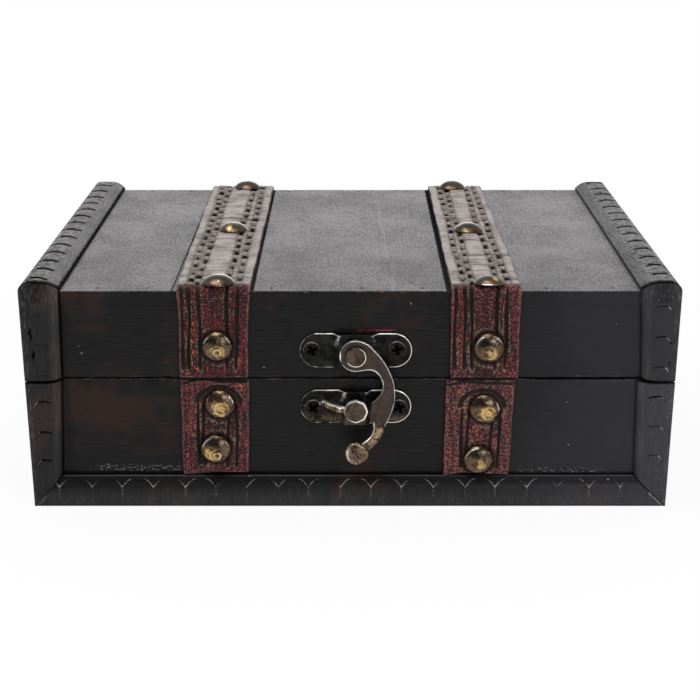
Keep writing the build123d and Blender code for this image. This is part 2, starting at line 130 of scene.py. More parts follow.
# Points along the arc from a through b to c.
def arcThrough(a, b, c, count):
    a, b, c = complex(*a), complex(*b), complex(*c)
    ratio = (c - a) / (b - a)
    centre = a - (a - b) * (ratio - abs(ratio) ** 2) / 2j / ratio.imag
    spokes = np.unwrap(np.angle(np.array([a, b, c]) - centre))
    angles = np.linspace(spokes[0], spokes[2], count)
    return np.stack([centre.real + abs(a - centre) * np.cos(angles),
                     centre.imag + abs(a - centre) * np.sin(angles)], -1)


# A smooth line through a few points, by Catmull and Rom's rule.
def smoothLine(points, steps):
    points = np.array(points, float)
    padded = np.vstack([2 * points[0] - points[1], points, 2 * points[-1] - points[-2]])
    share = np.linspace(0, 1, steps, endpoint=False)[:, None]
    runs = []
    for a, b, c, d in zip(padded, padded[1:], padded[2:], padded[3:]):
        runs.append(0.5 * (2 * b + (c - a) * share + (2 * a - 5 * b + 4 * c - d) * share**2
                           + (3 * b - a - 3 * c + d) * share**3))
    return np.vstack(runs + [points[-1:]])


# A shader socket that can stand in a sum.
class Wire:
    def __init__(self, finish, socket):
        self.finish = finish
        self.socket = socket

    def sum(self, operation, first, second):
        return self.finish.node("ShaderNodeMath", {"operation": operation}, {0: first, 1: second})

    def __add__(self, other):
        return self.sum("ADD", self, other)

    def __radd__(self, other):
        return self.sum("ADD", other, self)

    def __sub__(self, other):
        return self.sum("SUBTRACT", self, other)

    def __rsub__(self, other):
        return self.sum("SUBTRACT", other, self)

    def __mul__(self, other):
        return self.sum("MULTIPLY", self, other)

    def __rmul__(self, other):
        return self.sum("MULTIPLY", other, self)


# A material and its nodes.
class Finish:
    def __init__(self, holder):
        self.material = holder
        holder.use_nodes = True
        self.tree = holder.node_tree

    def node(self, kind, settings, sockets, output=0):
        made = self.tree.nodes.new(kind)
        for key, value in settings.items():
            setattr(made, key, value)
        self.feed(made, sockets)
        return Wire(self, made.outputs[output])

    def feed(self, made, sockets):
        for key, value in sockets.items():
            if isinstance(value, Wire):
                self.tree.links.new(value.socket, made.inputs[key])
            else:
                made.inputs[key].default_value = value

    def place(self, stretch=(1, 1, 1)):
        spot = self.node("ShaderNodeTexCoord", {}, {}, "Object")
        return self.node("ShaderNodeVectorMath", {"operation": "MULTIPLY"}, {0: spot, 1: stretch})

    def noise(self, at, scale, detail=3, roughness=0.55, distortion=0.0):
        return self.node("ShaderNodeTexNoise", {}, {"Vector": at, "Scale": scale, "Detail": detail,
                         "Roughness": roughness, "Distortion": distortion})

    def axes(self, at):
        parts = self.node("ShaderNodeSeparateXYZ", {}, {0: at})
        return [self.output(parts, axis) for axis in "XYZ"]

    # Small round specks, one or none in each cell.
    def specks(self, at, scale, radius, rarity):
        cell = self.node("ShaderNodeTexVoronoi", {}, {"Vector": at, "Scale": scale})
        pick = self.node("ShaderNodeSeparateColor", {}, {0: self.output(cell, "Color")})
        return self.between(cell, radius, radius * 0.5) * self.between(pick, rarity, rarity + 0.02)

    def output(self, wire, name):
        return Wire(self, wire.socket.node.outputs[name])

    def mark(self, name):
        return self.node("ShaderNodeAttribute", {"attribute_name": name}, {}, "Fac")

    # A value's share of the way from low to high, held between 0 and 1.
    def between(self, value, low, high):
        return self.node("ShaderNodeMapRange", {"interpolation_type": "SMOOTHSTEP"},
                         {"Value": value, "From Min": low, "From Max": high})

    # How far a place lies inside a window along an axis, which rises from start to full and
    # falls from fade to end, all in millimetres.
    def window(self, value, start, full, fade, end):
        return self.between(value, start * mm, full * mm) * self.between(value, end * mm, fade * mm)

    def mix(self, share, first, second):
        first = first if isinstance(first, Wire) else (*first, 1)
        second = second if isinstance(second, Wire) else (*second, 1)
        return self.node("ShaderNodeMix", {"data_type": "RGBA"}, {0: share, 6: first, 7: second}, 2)

    def bump(self, height, strength, distance):
        return self.node("ShaderNodeBump", {}, {"Height": height, "Strength": strength,
                         "Distance": distance * mm})

    def surface(self, sockets):
        self.feed(self.tree.nodes["Principled BSDF"], sockets)
        return self.material


def newFinish(name):
    return Finish(bpy.data.materials.new(name))


view = {"lens": 72.98, "back": 0.5389, "height": 0.2213, "pitch": 19.49}


def placeCamera():
    data = bpy.data.cameras.new("camera")
    data.lens = view["lens"]
    data.sensor_width = 36
    camera = bpy.data.objects.new("camera", data)
    camera.location = (0, -view["back"], view["height"])
    camera.rotation_euler = (math.radians(90 - view["pitch"]), 0, 0)
    bpy.context.scene.collection.objects.link(camera)
    bpy.context.scene.camera = camera


placeCamera()


wood = {
    "stain": (0.0045, 0.0042, 0.0046),
    "greyStain": (0.014, 0.0135, 0.0155),
    "rightLight": (0.030, 0.030, 0.035),
    "bloomDark": (0.085, 0.082, 0.085),
    "bloomLight": (0.236, 0.227, 0.231),
    "rubbed": (0.038, 0.016, 0.011),
    "bareAndGlint": (0.26, 0.17, 0.115),
    "glint": (0.40, 0.37, 0.34),
    "dust": (0.45, 0.44, 0.43),
    "shadeAndGrit": (0.0022, 0.002, 0.002),
    "paint": (0.26, 0.030, 0.045),
    "roughness": 0.34,
    "step": 1.0,
    "round": 0.35,
    "tightRound": 0.1,
    "chips": 8,
    "chipDeep": 0.3,
    "tightChips": 0.15,
    "glueLevel": (11.6, 12.1, 13.2, 14.7),
    "glueEnds": (55, 64, 86, 94),
    "paintLevel": (64.3, 64.5, 64.8, 65.0),
    "paintEnds": (2, 4, 15.5, 16.5),
    "strapSpread": 1.5,
    "shadowRim": (0, 0.3, 0.6, 1.0),
}


# Carved wood: scuffs, a mottled crown, packed lines, painted shade in recesses, and painted light on
# cut edges.
def carvedMarks(finish, grain, colour):
    bloom, nick = grain.bloom, grain.nick
    sunk = finish.mark("sunk")
    wave = finish.mark("wave")
    arch = finish.mark("arch")
    bristle = finish.noise(finish.place((1, 1, 0.2)), 1900, 4, 0.75)
    scuffed = finish.mark("scuff") * finish.between(bristle, 0.50, 0.66)
    colour = finish.mix(scuffed, colour, wood["bloomLight"])
    mottle = grain.tooth * 0.35 + nick * 0.65
    crown = finish.between(arch, -1.2, 0.8) * bloom
    gritty = finish.between(mottle, 0.50, 0.57) * crown
    frosted = finish.between(mottle, 0.47, 0.40) * crown
    colour = finish.mix(gritty * 0.8, colour, wood["shadeAndGrit"])
    colour = finish.mix(frosted * 0.45, colour, wood["dust"])
    line = finish.between(wave, 0.950, 0.990) * finish.mark("scored")
    colour = finish.mix(line, colour, wood["shadeAndGrit"])
    stroke = finish.between(arch * arch, 0.055, 0.008) * finish.mark("glint")
    hook = finish.between(wave, 0.945, 0.985) * finish.mark("hook")
    light = finish.between(stroke + hook, 0.15, 0.95) * finish.between(nick, 0.36, 0.50)
    mitre = finish.mark("mitre") * finish.between(nick, 0.32, 0.46)
    colour = finish.mix(finish.between(light + mitre, 0.1, 0.9), colour, wood["glint"])
    # Painted shade and shadow where the sunk mark lies, together with the dark joints.
    colour = finish.mix(sunk * (0.75 + 0.25 * grain.tooth), colour, wood["shadeAndGrit"])
    return colour, finish.between(line + sunk + gritty * 0.8, 0.05, 1.0)


# The box's front: flecks of glue over the foot, a painted shadow at the left and a streak of red paint.
def frontMarks(finish, grain, colour):
    side, up = grain.side, grain.up
    front = finish.between(grain.deep, (frontY + 1) * mm, (frontY + 0.3) * mm)
    flakes = finish.between(finish.noise(finish.place((0.5, 1, 1)), 1500, 3, 0.65), 0.53, 0.62)
    level = up + finish.between(side, -0.01, 0.01) * 0.0010
    glue = finish.window(level, *wood["glueLevel"]) * finish.window(grain.apart, *wood["glueEnds"])
    colour = finish.mix(flakes * glue * front * 0.4, colour, wood["dust"])
    # Painted shadow: a dark band at the left end of the front, beside the side strip.
    leftShadow = finish.between(-1 * side + (grain.tooth - 0.5) * 0.002, 0.0970, 0.0990) * front
    colour = finish.mix(leftShadow * 0.6, colour, wood["shadeAndGrit"])
    streak = finish.window(up, *wood["paintLevel"]) * finish.window(side, *wood["paintEnds"])
    dashes = streak * finish.between(grain.nick, 0.46, 0.54)
    return finish.mix(dashes * front, colour, wood["paint"])


# The lid's top: painted shadow beside the straps, a long scratch, and dark grit towards the back.
def topMarks(finish, grain, colour):
    side, deep, apart, bloom = grain.side, grain.deep, grain.apart, grain.bloom
    # Painted shadow: black beside each strap's inner edge, and a line along the left strap's outer
    # edge.
    ragged = apart + (grain.tooth - 0.5) * 0.0016
    shadeAndGrit = finish.between(ragged, 0.0325, 0.0333) * finish.between(apart, 0.0350, 0.0345)
    strapEdge = (wood["strapSpread"] - nodeBox("lid_left_strap")[0][0]) * mm
    rim = finish.window(ragged + deep * 0.004 - strapEdge, *wood["shadowRim"])
    rim = rim * finish.between(side, 0.01, -0.01)
    black = finish.between(shadeAndGrit + rim * 0.7, 0.0, 1.0) * bloom
    colour = finish.mix(black, colour, wood["shadeAndGrit"])
    score = side + deep * 0.034 - 0.0132 + (grain.cloud - 0.5) * 0.006
    scratch = finish.between(score * score * 1e6, 0.10, 0.01) * finish.between(grain.broad, 0.36, 0.50)
    colour = finish.mix(scratch * bloom * 0.3, colour, wood["dust"])
    # The painted sheen turns darker towards the front.
    colour = finish.mix(finish.between(deep, 0.06, -0.11) * bloom * 0.30, colour, wood["bloomDark"])
    grit = finish.between(grain.tooth, 0.54, 0.64) * finish.between(deep, 0.05, -0.075)
    spots = finish.specks(grain.at, 90, 0.07, 0.93)
    speckle = finish.between(grit + spots, 0.1, 0.9) * bloom
    colour = finish.mix(speckle * 0.7, colour, wood["shadeAndGrit"])
    return colour, finish.between(black + speckle * 0.25, 0.0, 1.0)


# Stained wood with its grain along one axis. Its marks say where a painted grey sheen lies on
# the stain and where an edge is worn. Kind tells what else it shows: carved, front, top or plain.
def stainedWood(name, along, gloss, kind="plain"):
    finish = newFinish(name)
    at = finish.place()
    stretch = 0.28 if kind == "top" else 0.07
    grainAt = finish.place([stretch if axis == along else 1 for axis in "xyz"])
    fine = finish.noise(grainAt, 1500, 4, 0.8)
    broad = finish.noise(grainAt, 330, 4, 0.6, 0.4)
    cloud = finish.noise(at, 42, 4, 0.6)
    tooth = finish.noise(at, 1300, 4, 0.8)
    nick = finish.noise(at, 520, 4, 0.65)
    bloom = finish.mark("bloom")
    side, deep, up = finish.axes(at)
    grain = SimpleNamespace(at=at, broad=broad, cloud=cloud, tooth=tooth, nick=nick, bloom=bloom,
                            side=side, deep=deep, up=up, apart=side.sum("ABSOLUTE", side, 0))
    leftEnd = finish.between(-1 * side, 0.040, 0.095)
    litRightEnd = finish.between(side + (cloud - 0.5) * 0.05, 0.030, 0.105)
    patch = finish.between(cloud + broad * 0.35 + leftEnd * 0.13, 0.74, 0.94)
    dark = finish.mix(finish.between(fine, 0.38, 0.72), wood["stain"], wood["greyStain"])
    # Painted light from the right: the right end turns a bluish grey, more so on the base.
    low = finish.between(up, (baseTop + 1) * mm, (baseTop - 1) * mm)
    dark = finish.mix(litRightEnd * (0.6 + 0.25 * low), dark, wood["rightLight"])
    dark = finish.mix(patch * 0.6, dark, wood["rubbed"])
    # Painted sheen: the grey that stands for the glancing reflection on upward faces.
    coarse = finish.between(fine * 0.7 + tooth * 0.3 + (cloud - 0.5) * 0.30, 0.42, 0.58)
    grey = finish.mix(coarse, wood["bloomDark"], wood["bloomLight"])
    colour = finish.mix(bloom, dark, grey)
    colour = finish.mix(finish.mark("wearAndGlint") * finish.between(nick, 0.50, 0.62), colour, wood["bareAndGlint"])
    black = 0.0
    if kind == "carved":
        colour, black = carvedMarks(finish, grain, colour)
    colour = finish.mix(finish.specks(at, 140, 0.05, 0.60) * 0.6, colour, wood["dust"])
    if kind == "front":
        colour = frontMarks(finish, grain, colour)
    if kind == "top":
        colour, black = topMarks(finish, grain, colour)
    return finish.surface({
        "Base Color": colour,
        "Metallic": black,
        "Roughness": wood["roughness"] + fine * 0.12 + bloom * 0.05 + black * 0.6,
        "Specular IOR Level": gloss,
        "Normal": finish.bump(fine * 0.6 + broad * 0.5 + tooth * 0.4, 0.5, 0.16),
    })


faceFinish = stainedWood("stained wood across", "x", 0.15, "front")
sideFinish = stainedWood("stained wood endways", "y", 0.15)
topFinish = stainedWood("bloomed lid top", "y", 0.15, "top")


def finishNode(node, material):
    piece = frame["nodes"][node]
    piece.data.materials.clear()
    piece.data.materials.append(material)


# Small uneven steps along an edge, as chisel chips and knocks leave them.
def chips(run, luck):
    cut = 0.03 * np.sin(run / 6.3) + 0.02 * np.sin(run / 2.1 + 1)
    for place in luck.uniform(run.min(), run.max(), wood["chips"]):
        deep, wide = luck.uniform(0.2, 1) * wood["chipDeep"], luck.uniform(0.5, 2.0)
        cut = cut + deep * bell(run - place, wide)
    return np.clip(cut, 0, 1)[:, None]


# A board with softened, slightly knocked edges. Its rings follow the box's X or Y axis.
# settle tells how far the board's upper edge wanders from straight. Tight edges are glued to
# another board: 0 and 1 are the lower ones, 2 and 3 the upper ones.
def makeBoard(node, body, axis, material, seed, settle=None, bloomed=False, tight=()):
    low, high = nodeBox(node)
    luck = np.random.default_rng(seed)
    p = 1 - axis
    run = np.arange(low[axis], high[axis] + 0.01, wood["step"])
    run[-1] = high[axis]
    radius = wood["round"]
    corners = [(low[p], low[2], 180), (high[p], low[2], 270),
               (high[p], high[2], 0), (low[p], high[2], 90)]
    arcs = []
    for number, (cornerP, cornerZ, first) in enumerate(corners):
        angles = np.radians(first + np.linspace(0, 90, 4))
        own = wood["tightRound"] if number in tight else radius
        inP = cornerP + (own if cornerP == low[p] else -own)
        inZ = cornerZ + (own if cornerZ == low[2] else -own)
        arcs.append(np.stack([inP + own * np.cos(angles), inZ + own * np.sin(angles)], -1))
    loop, edge = [], []
    for number, arc in enumerate(arcs):
        gap = arcs[(number + 1) % 4][0] - arc[-1]
        reach = np.linalg.norm(gap)
        near = 0.3 / reach
        share = np.concatenate([[near], np.linspace(0, 1, max(3, int(reach / 4)))[1:-1], [1 - near]])
        loop += [arc, arc[-1] + gap * share[:, None]]
        edge += [np.full(4, number), np.full(len(share), -1)]
    loop, edge = np.vstack(loop), np.concatenate(edge)
    rings = np.empty((len(run), len(loop), 3))
    rings[..., axis] = run[:, None]
    rings[..., p], rings[..., 2] = loop[:, 0], loop[:, 1]
    wearAndGlint = np.zeros(rings.shape[:2])
    for number, (cornerP, cornerZ, _) in enumerate(corners):
        cut = chips(run, luck) * (wood["tightChips"] if number in tight else 1.0)
        mine = edge == number
        rings[:, mine, p] += cut * (1 if cornerP == low[p] else -1)
        rings[:, mine, 2] += cut * (1 if cornerZ == low[2] else -1)
        wearAndGlint[:, mine] = 0.0 if number in tight else np.clip(0.1 + 2.5 * cut, 0, 0.8)
    # Painted sheen: a board marked for it gets a grey sheen on the top of its upper face.
    bloom = ease(rings[..., 2], high[2] - 0.15, high[2]) if bloomed else 0 * wearAndGlint
    if settle:
        rings[..., 2] -= settle(rings[..., 0]) * ease(rings[..., 2], high[2] - 3, high[2])
    middle = (low + high) / 2
    for end, way in ((0, 1), (-1, -1)):
        for i in (p, 2):
            rings[end, :, i] += np.sign(middle[i] - rings[end, :, i]) * radius * 0.6
        rings[end + way, :, axis] = rings[end, 0, axis] + way * radius * 0.6
    marks = {"wearAndGlint": wearAndGlint, "bloom": bloom}
    makePiece(node, "planed", [skin(rings, marks)], material, body, 40)


# The seam isn't quite straight: the base's rim dips towards the right end.
def rimDip(x):
    return 0.55 * ease(x, 58, 66) * (1 - 0.5 * ease(x, 92, 104)) + 0.12 * ease(-x, 96, 106)


def makeBoards():
    makeBoard("base_front_board", "base", 0, faceFinish, 71, rimDip)
    makeBoard("base_back_board", "base", 0, faceFinish, 72)
    makeBoard("lid_front_board", "lid", 0, faceFinish, 73, tight=(2, 3))
    makeBoard("lid_back_board", "lid", 0, faceFinish, 74)
    makeBoard("lid_top_board", "lid", 0, topFinish, 75, bloomed=True, tight=(0, 1))
    for number, part in enumerate(("base", "lid")):
        for side in ("left", "right"):
            makeBoard(f"{part}_{side}_board", part, 1, sideFinish, 76 + number)
    makeBoard("base_bottom_board", "base", 0, sideFinish, 79)


makeBoards()
print("boards planed and stained")


band = {
    "height": 4.5,
    "topBackHeight": 3.7,
    "footTall": 11.2,
    "outerLip": 3.8,
    "innerLip": 0.9,
    "crown": 2.6,
    "fall": 3.8,
    "pitch": 11.03,
    "step": 0.34,
    "corner": 3.0,
    "topNarrowing": 0.4,
}

# A strip's scored lines: where they start and end across it, how far their ends bend, how
# deep and wide they are, how dark or light, and where the arches between them lie. Then its
# gutter with its painted shade, its scars, its painted sheen and its height at the far end.
plainStrip = {
    "arch": 0.0, "bend": 0.0, "bloom": 0.0, "clear": -500, "cove": 0.0, "endHeight": band["height"],
    "faint": 1.0, "gutter": 0.6, "hook": 0.0, "light": 0.0, "lip": band["outerLip"], "gutterShade": 0.0,
    "pits": (), "recess": 1.0, "scuff": 0.0, "shoulder": 0.0, "taper": 0.0,
}
footLines = {
    **plainStrip, "from": 3.2, "to": 7.2, "depth": 0.10, "wide": 0.3, "dark": 0.0, "light": 0.42,
    "cusp": 7.2, "rise": 2.8, "arch": 1.0, "lip": 4.3, "thin": 1.0, "gutter": 0.35, "first": -102.8,
}
sideLines = {
    **plainStrip, "from": 3.0, "to": 8.8, "bend": 0.5, "hook": 1.3, "depth": 0.62, "wide": 0.36,
    "dark": 0.85, "light": 0.8, "cusp": 8.8, "rise": 1.0, "thin": 1.9, "cove": 0.12, "shoulder": 0.3,
}
topLines = {
    **plainStrip, "from": 1.1, "to": 8.6, "bend": 1.6, "depth": 0.95, "wide": 1.0, "taper": 1.6,
    "dark": 1.0, "cusp": 8.6, "rise": 0.9, "bloom": 0.58, "endHeight": band["topBackHeight"],
}
carvedFinish = stainedWood("carved stained wood", "z", 0.24, "carved")
carvedTopFinish = stainedWood("carved bloomed wood", "y", 0.30, "carved")


# The strip's section: a shoulder, a nearly flat crown and a cove down to the inner edge.
def bandSection(width, lip):
    high = band["height"]
    crownEnd = width - band["fall"]
    crownStart = band["crown"]
    side = arcThrough((0, lip), (crownStart * 0.34, lip + (high * 0.97 - lip) * 0.64),
                      (crownStart, high * 0.97), 9)
    crown = arcThrough((crownStart, high * 0.97), ((crownStart + crownEnd) / 2, high),
                       (crownEnd, high * 0.94), 20)
    fall = arcThrough((crownEnd, high * 0.94), (crownEnd + band["fall"] * 0.62, high * 0.60),
                      (width, band["innerLip"]), 15)
    return np.vstack([side, crown[1:], fall[1:]])


# How far the scored lines sink the surface, and the marks that its finish reads.
def score(along, across, strip, luck):
    lines = strip["first"] + band["pitch"] * np.arange(-20, 40)
    lines = lines + luck.uniform(-0.35, 0.35, lines.shape)
    share = (across - strip["from"]) / (strip["to"] - strip["from"])
    drop = strip["bend"] * (2 * share - 1) ** 2
    drop = drop + strip["hook"] * np.clip(1 - share / 0.3, 0, 1.6) ** 1.5
    bent = along + np.where(np.abs(share - 0.5) < 1.2, drop, 0)
    index = np.clip(np.searchsorted(lines, bent), 1, len(lines) - 1)
    left, right = lines[index - 1], lines[index]
    cell = (bent - left) / (right - left)
    bow = 1 - np.abs(2 * cell - 1) ** 3
    toLine = np.minimum(bent - left, right - bent)
    nearest = index - (cell < 0.5)
    early, late, firm, lit = luck.uniform(0, 1, (4, len(lines)))[:, nearest]
    starts = strip["from"] + 0.8 * (early - 0.5)
    stops = strip["to"] + 1.2 * (late - 0.5)
    reach = ease(across, starts - 0.5, starts + 0.5) * (1 - ease(across, stops - 0.6, stops + 0.9))
    reach = reach * ease(bent, strip["clear"], strip["clear"] + 1)
    strength = strip["faint"] * (0.6 + 0.4 * firm)
    inside = strip["cusp"] + strip["rise"] * bow - across
    hollow = ease(inside, -0.3, 0.7) * (1 - ease(inside, 1.2, 3.6)) * bow * strip["arch"]
    sink = strip["depth"] * strength * bell(toLine, strip["wide"]) * reach + 0.22 * hollow
    half = luck.uniform(0.45, 1.15, 2 * len(lines) + 2)[2 * index + (cell > 0.5)]
    hookEnd = 1 if strip["arch"] else ease(0.34 - share, 0, 0.15)
    for place, out, length, wide, deep in strip["pits"]:
        pit = bell(along - place, length) * bell(across - out - 0.25 * np.sin(along * 2.1), wide)
        sink = sink + deep * pit
    thin = strip["thin"] * (1 + strip["taper"] * np.clip(share, 0, 1) ** 2)
    return sink, {
        # sunk also paints shade in the arches' hollows.
        "sunk": np.clip((sink - 0.22) * 2.2, 0, 1) * strip["dark"] + 0.42 * hollow,
        "wave": 1 - (1 - np.cos(2 * math.pi * cell)) * thin,
        "arch": inside,
        "glint": strip["arch"] * bell(toLine, 4.0) * half * (inside > -1.5),
        "hook": strip["faint"] * strip["light"] * (lit > 0.25) * hookEnd * reach,
        "scored": strip["dark"] * strength * reach * ease(share, 0.12, 0.3),
    }


# A strip has its own length, widths at its two ends, and a rule that places it on the box.
def makeBand(node, body, width, widths, ends, strip, finish, toBox, seed):
    luck = np.random.default_rng(seed)
    section = bandSection(width, strip["lip"])
    across, high = section[:, 0], section[:, 1]
    start, stop = ends(across, high)
    rows = int(abs(stop[-1] - start[-1]) / band["step"])
    share = np.linspace(0, 1, rows)[:, None]
    along = start + (stop - start) * share
    acrossAll = np.broadcast_to(across, along.shape)
    sink, marks = score(along, acrossAll, strip, luck)

    def deepen(values):
        marks["sunk"] = np.maximum(marks["sunk"], values)

    wobble = 0.10 * np.sin(along / 7 + seed) * ease(acrossAll, 0, 3)
    heights = band["height"] + (strip["endHeight"] - band["height"]) * share
    lift = high * heights / band["height"] - sink * ease(high, 0, 1.5) + wobble * 0.5
    # Painted shadow: the gutter along the inner edge turns dark, with a ragged edge where it is wide.
    gutter = strip["gutter"]
    ragged = acrossAll + luck.uniform(-0.25, 0.25, along.shape) * (gutter > plainStrip["gutter"])
    recess = ease(ragged, width - gutter, width - gutter * 0.45) * strip["recess"]
    deepen(recess)
    # Painted sheen on the strip, with more of it on the cove.
    cove = strip["cove"] * ease(acrossAll, width - 3.8, width - 2)
    marks["bloom"] = (strip["bloom"] + cove) * (1 - recess)
    fromStart, fromEnd = along - start, stop - along
    # Painted shade: dark specks in the gutter.
    gutterShade = strip["gutterShade"] * ease(acrossAll, width - 4.4, width - 2.4)
    deepen(gutterShade * ease(luck.uniform(0, 1, along.shape), 0.35, 0.75))
    if "foot" in node:
        nearBoard = ease(acrossAll, 3, 8)
        mitre = 0.6 * bell(fromStart - 0.6, 0.2) + 0.5 * bell(fromStart - 1.6, 0.18)
        rightMitre = 0.8 * bell(fromEnd - 1.0, 0.28) * ease(-acrossAll, -7, -3)
        marks["mitre"] = mitre * (1 - nearBoard) + rightMitre
        deepen(bell(fromEnd, 0.30 + 0.55 * nearBoard))
        deepen(bell(fromStart, 0.15 + 0.45 * nearBoard))
        # Painted shadow along the foot's bottom edge, and painted shade in a band under the arches.
        deepen(bell(acrossAll, 0.4))
        deepen(0.5 * ease(acrossAll, 7.3, 9) * (1 - ease(acrossAll, width - 0.8, width - 0.5)))
        # Painted sheen: the foot turns lighter towards its bottom edge.
        marks["bloom"] = marks["bloom"] + 0.08 * (1 - ease(acrossAll, 0.5, 7.5))
    elif "top" in node:
        deepen(bell(fromStart, 2.2))
    else:
        onLid = body == "lid"
        deepen(np.maximum(bell(fromEnd, 0.5), 0.9 * bell(fromStart, 0.4) * onLid))
        # Darker just below the lid's top, around the strip's middle.
        darkNearTop = 0.5 * ease(along, topZ - 5, topZ - 2) * bell(acrossAll - 6, 4) * onLid
        deepen(darkNearTop * (0.6 + 0.4 * luck.uniform(0, 1, along.shape)))
    marks["scuff"] = strip["scuff"] * ease(along, topZ - 5.5, topZ - 1.5) * (1 - recess)
    marks["scuff"] = np.maximum(marks["scuff"], strip["shoulder"] * bell(acrossAll - 1.0, 1.3))
    narrow = (widths[0] + (widths[1] - widths[0]) * share) / width
    outer = np.stack([along, acrossAll * narrow, lift], -1)
    corners = []
    for edge in (width, 0):
        first, last = ends(np.array([edge]), np.array([0.0]))
        run = first + (last - first) * share
        corners.append(np.stack([run, edge * narrow, np.zeros_like(run)], -1))
    rings = toBox(np.concatenate([outer, *corners], 1))
    blank = np.zeros((rows, 2))
    marks = {key: np.concatenate([value, blank], 1) for key, value in marks.items()}
    makePiece(node, "carved", [skin(rings, marks)], finish, body, 60)


# Rounds the long outer corner between the lid's ends and its top.
def roundOver(points):
    radius = band["corner"]
    aside = np.abs(points[..., 0]) - (halfWidth - radius)
    above = points[..., 2] - (topZ + band["outerLip"] - radius)
    reach = np.hypot(aside, above)
    out = (aside > 0) & (above > 0) & (reach > radius)
    shrink = np.where(out, radius / np.maximum(reach, radius), 1)
    x = np.where(out, np.sign(points[..., 0]) * (halfWidth - radius + aside * shrink), points[..., 0])
    z = np.where(out, topZ + band["outerLip"] - radius + above * shrink, points[..., 2])
    return np.stack([x, points[..., 1], z], -1)


def makeBands():
    baseLow, baseHigh = nodeBox("base_left_moulding")
    width = baseHigh[0] - baseLow[0]
    footHigh = band["footTall"]
    ends = {
        "left": {"base": (10.4, 12.5), "lid": (12.7, 13.6)},
        "right": {"base": (11.6, 12.8), "lid": (11.4, 13.5)},
    }
    baseStrip = {
        "left": {"first": 6.6, "recess": 0.75, "clear": 8.5,
                 "pits": [(26.0, 3.4, 2.2, 0.35, 0.35), (18.2, 3.3, 2.0, 0.4, 0.45)]},
        "right": {"first": 8.4, "recess": 0.35, "clear": 8.5, "dark": 0.6, "bloom": 0.07,
                  "pits": [(15.6, 3.6, 0.9, 0.5, 0.6)]},
    }
    lidStrip = {
        "left": {"first": 49.9, "recess": 0.9, "scuff": 0.36, "faint": 0.35,
                 "pits": [(64.6, 3.1, 2.6, 0.45, 0.9), (56.8, 3.7, 2.4, 0.5, 0.9),
                          (72.0, 2.6, 1.6, 0.4, 0.4)]},
        "right": {"first": 52.9, "recess": 0.35, "scuff": 0.36, "faint": 0.9,
                  "pits": [(54.0, 2.9, 0.9, 0.5, 0.6), (61.5, 3.0, 0.6, 0.5, 0.6)]},
    }
    topStrip = {
        "left": {"first": -74.0, "gutter": 0.75, "gutterShade": 0.2, "recess": 1.0, "thin": 0.10},
        "right": {"first": -69.0, "gutter": 0.4, "gutterShade": 0.45, "recess": 0.6, "thin": 0.13},
    }
    makeBand(
        "base_foot_moulding", "base", footHigh, (footHigh, footHigh),
        lambda across, high: (-halfWidth + across * ends["left"]["base"][0] / footHigh,
                              halfWidth - across * ends["right"]["base"][0] / footHigh),
        footLines, carvedFinish,
        lambda p: np.stack([p[..., 0], frontY - p[..., 2], p[..., 1]], -1), 3)
    for side, sign in (("left", -1), ("right", 1)):
        onFront = lambda p, sign=sign: np.stack(
            [sign * (halfWidth - p[..., 1]), frontY - p[..., 2], p[..., 0]], -1)
        onTop = lambda p, sign=sign: np.stack(
            [sign * (halfWidth - p[..., 1]), p[..., 0], topZ + p[..., 2]], -1)
        lidEnds = ends[side]["lid"]
        makeBand(
            f"base_{side}_moulding", "base", width, ends[side]["base"],
            lambda across, high: (across * footHigh / width, np.full_like(across, baseTop)),
            {**sideLines, **baseStrip[side]}, carvedFinish, onFront, 11 + sign)
        makeBand(
            f"lid_{side}_moulding", "lid", width, lidEnds,
            lambda across, high: (np.full_like(across, lidFoot), topZ + high),
            {**sideLines, **lidStrip[side]}, carvedFinish, lambda p: roundOver(onFront(p)), 21 + sign)
        makeBand(
            f"top_{side}_moulding", "lid", width, (lidEnds[1], lidEnds[1] - band["topNarrowing"]),
            lambda across, high: (frontY - high, np.full_like(across, backY)),
            {**topLines, **topStrip[side]}, carvedTopFinish, lambda p: roundOver(onTop(p)), 31 + sign)


makeBands()
print("bands carved")


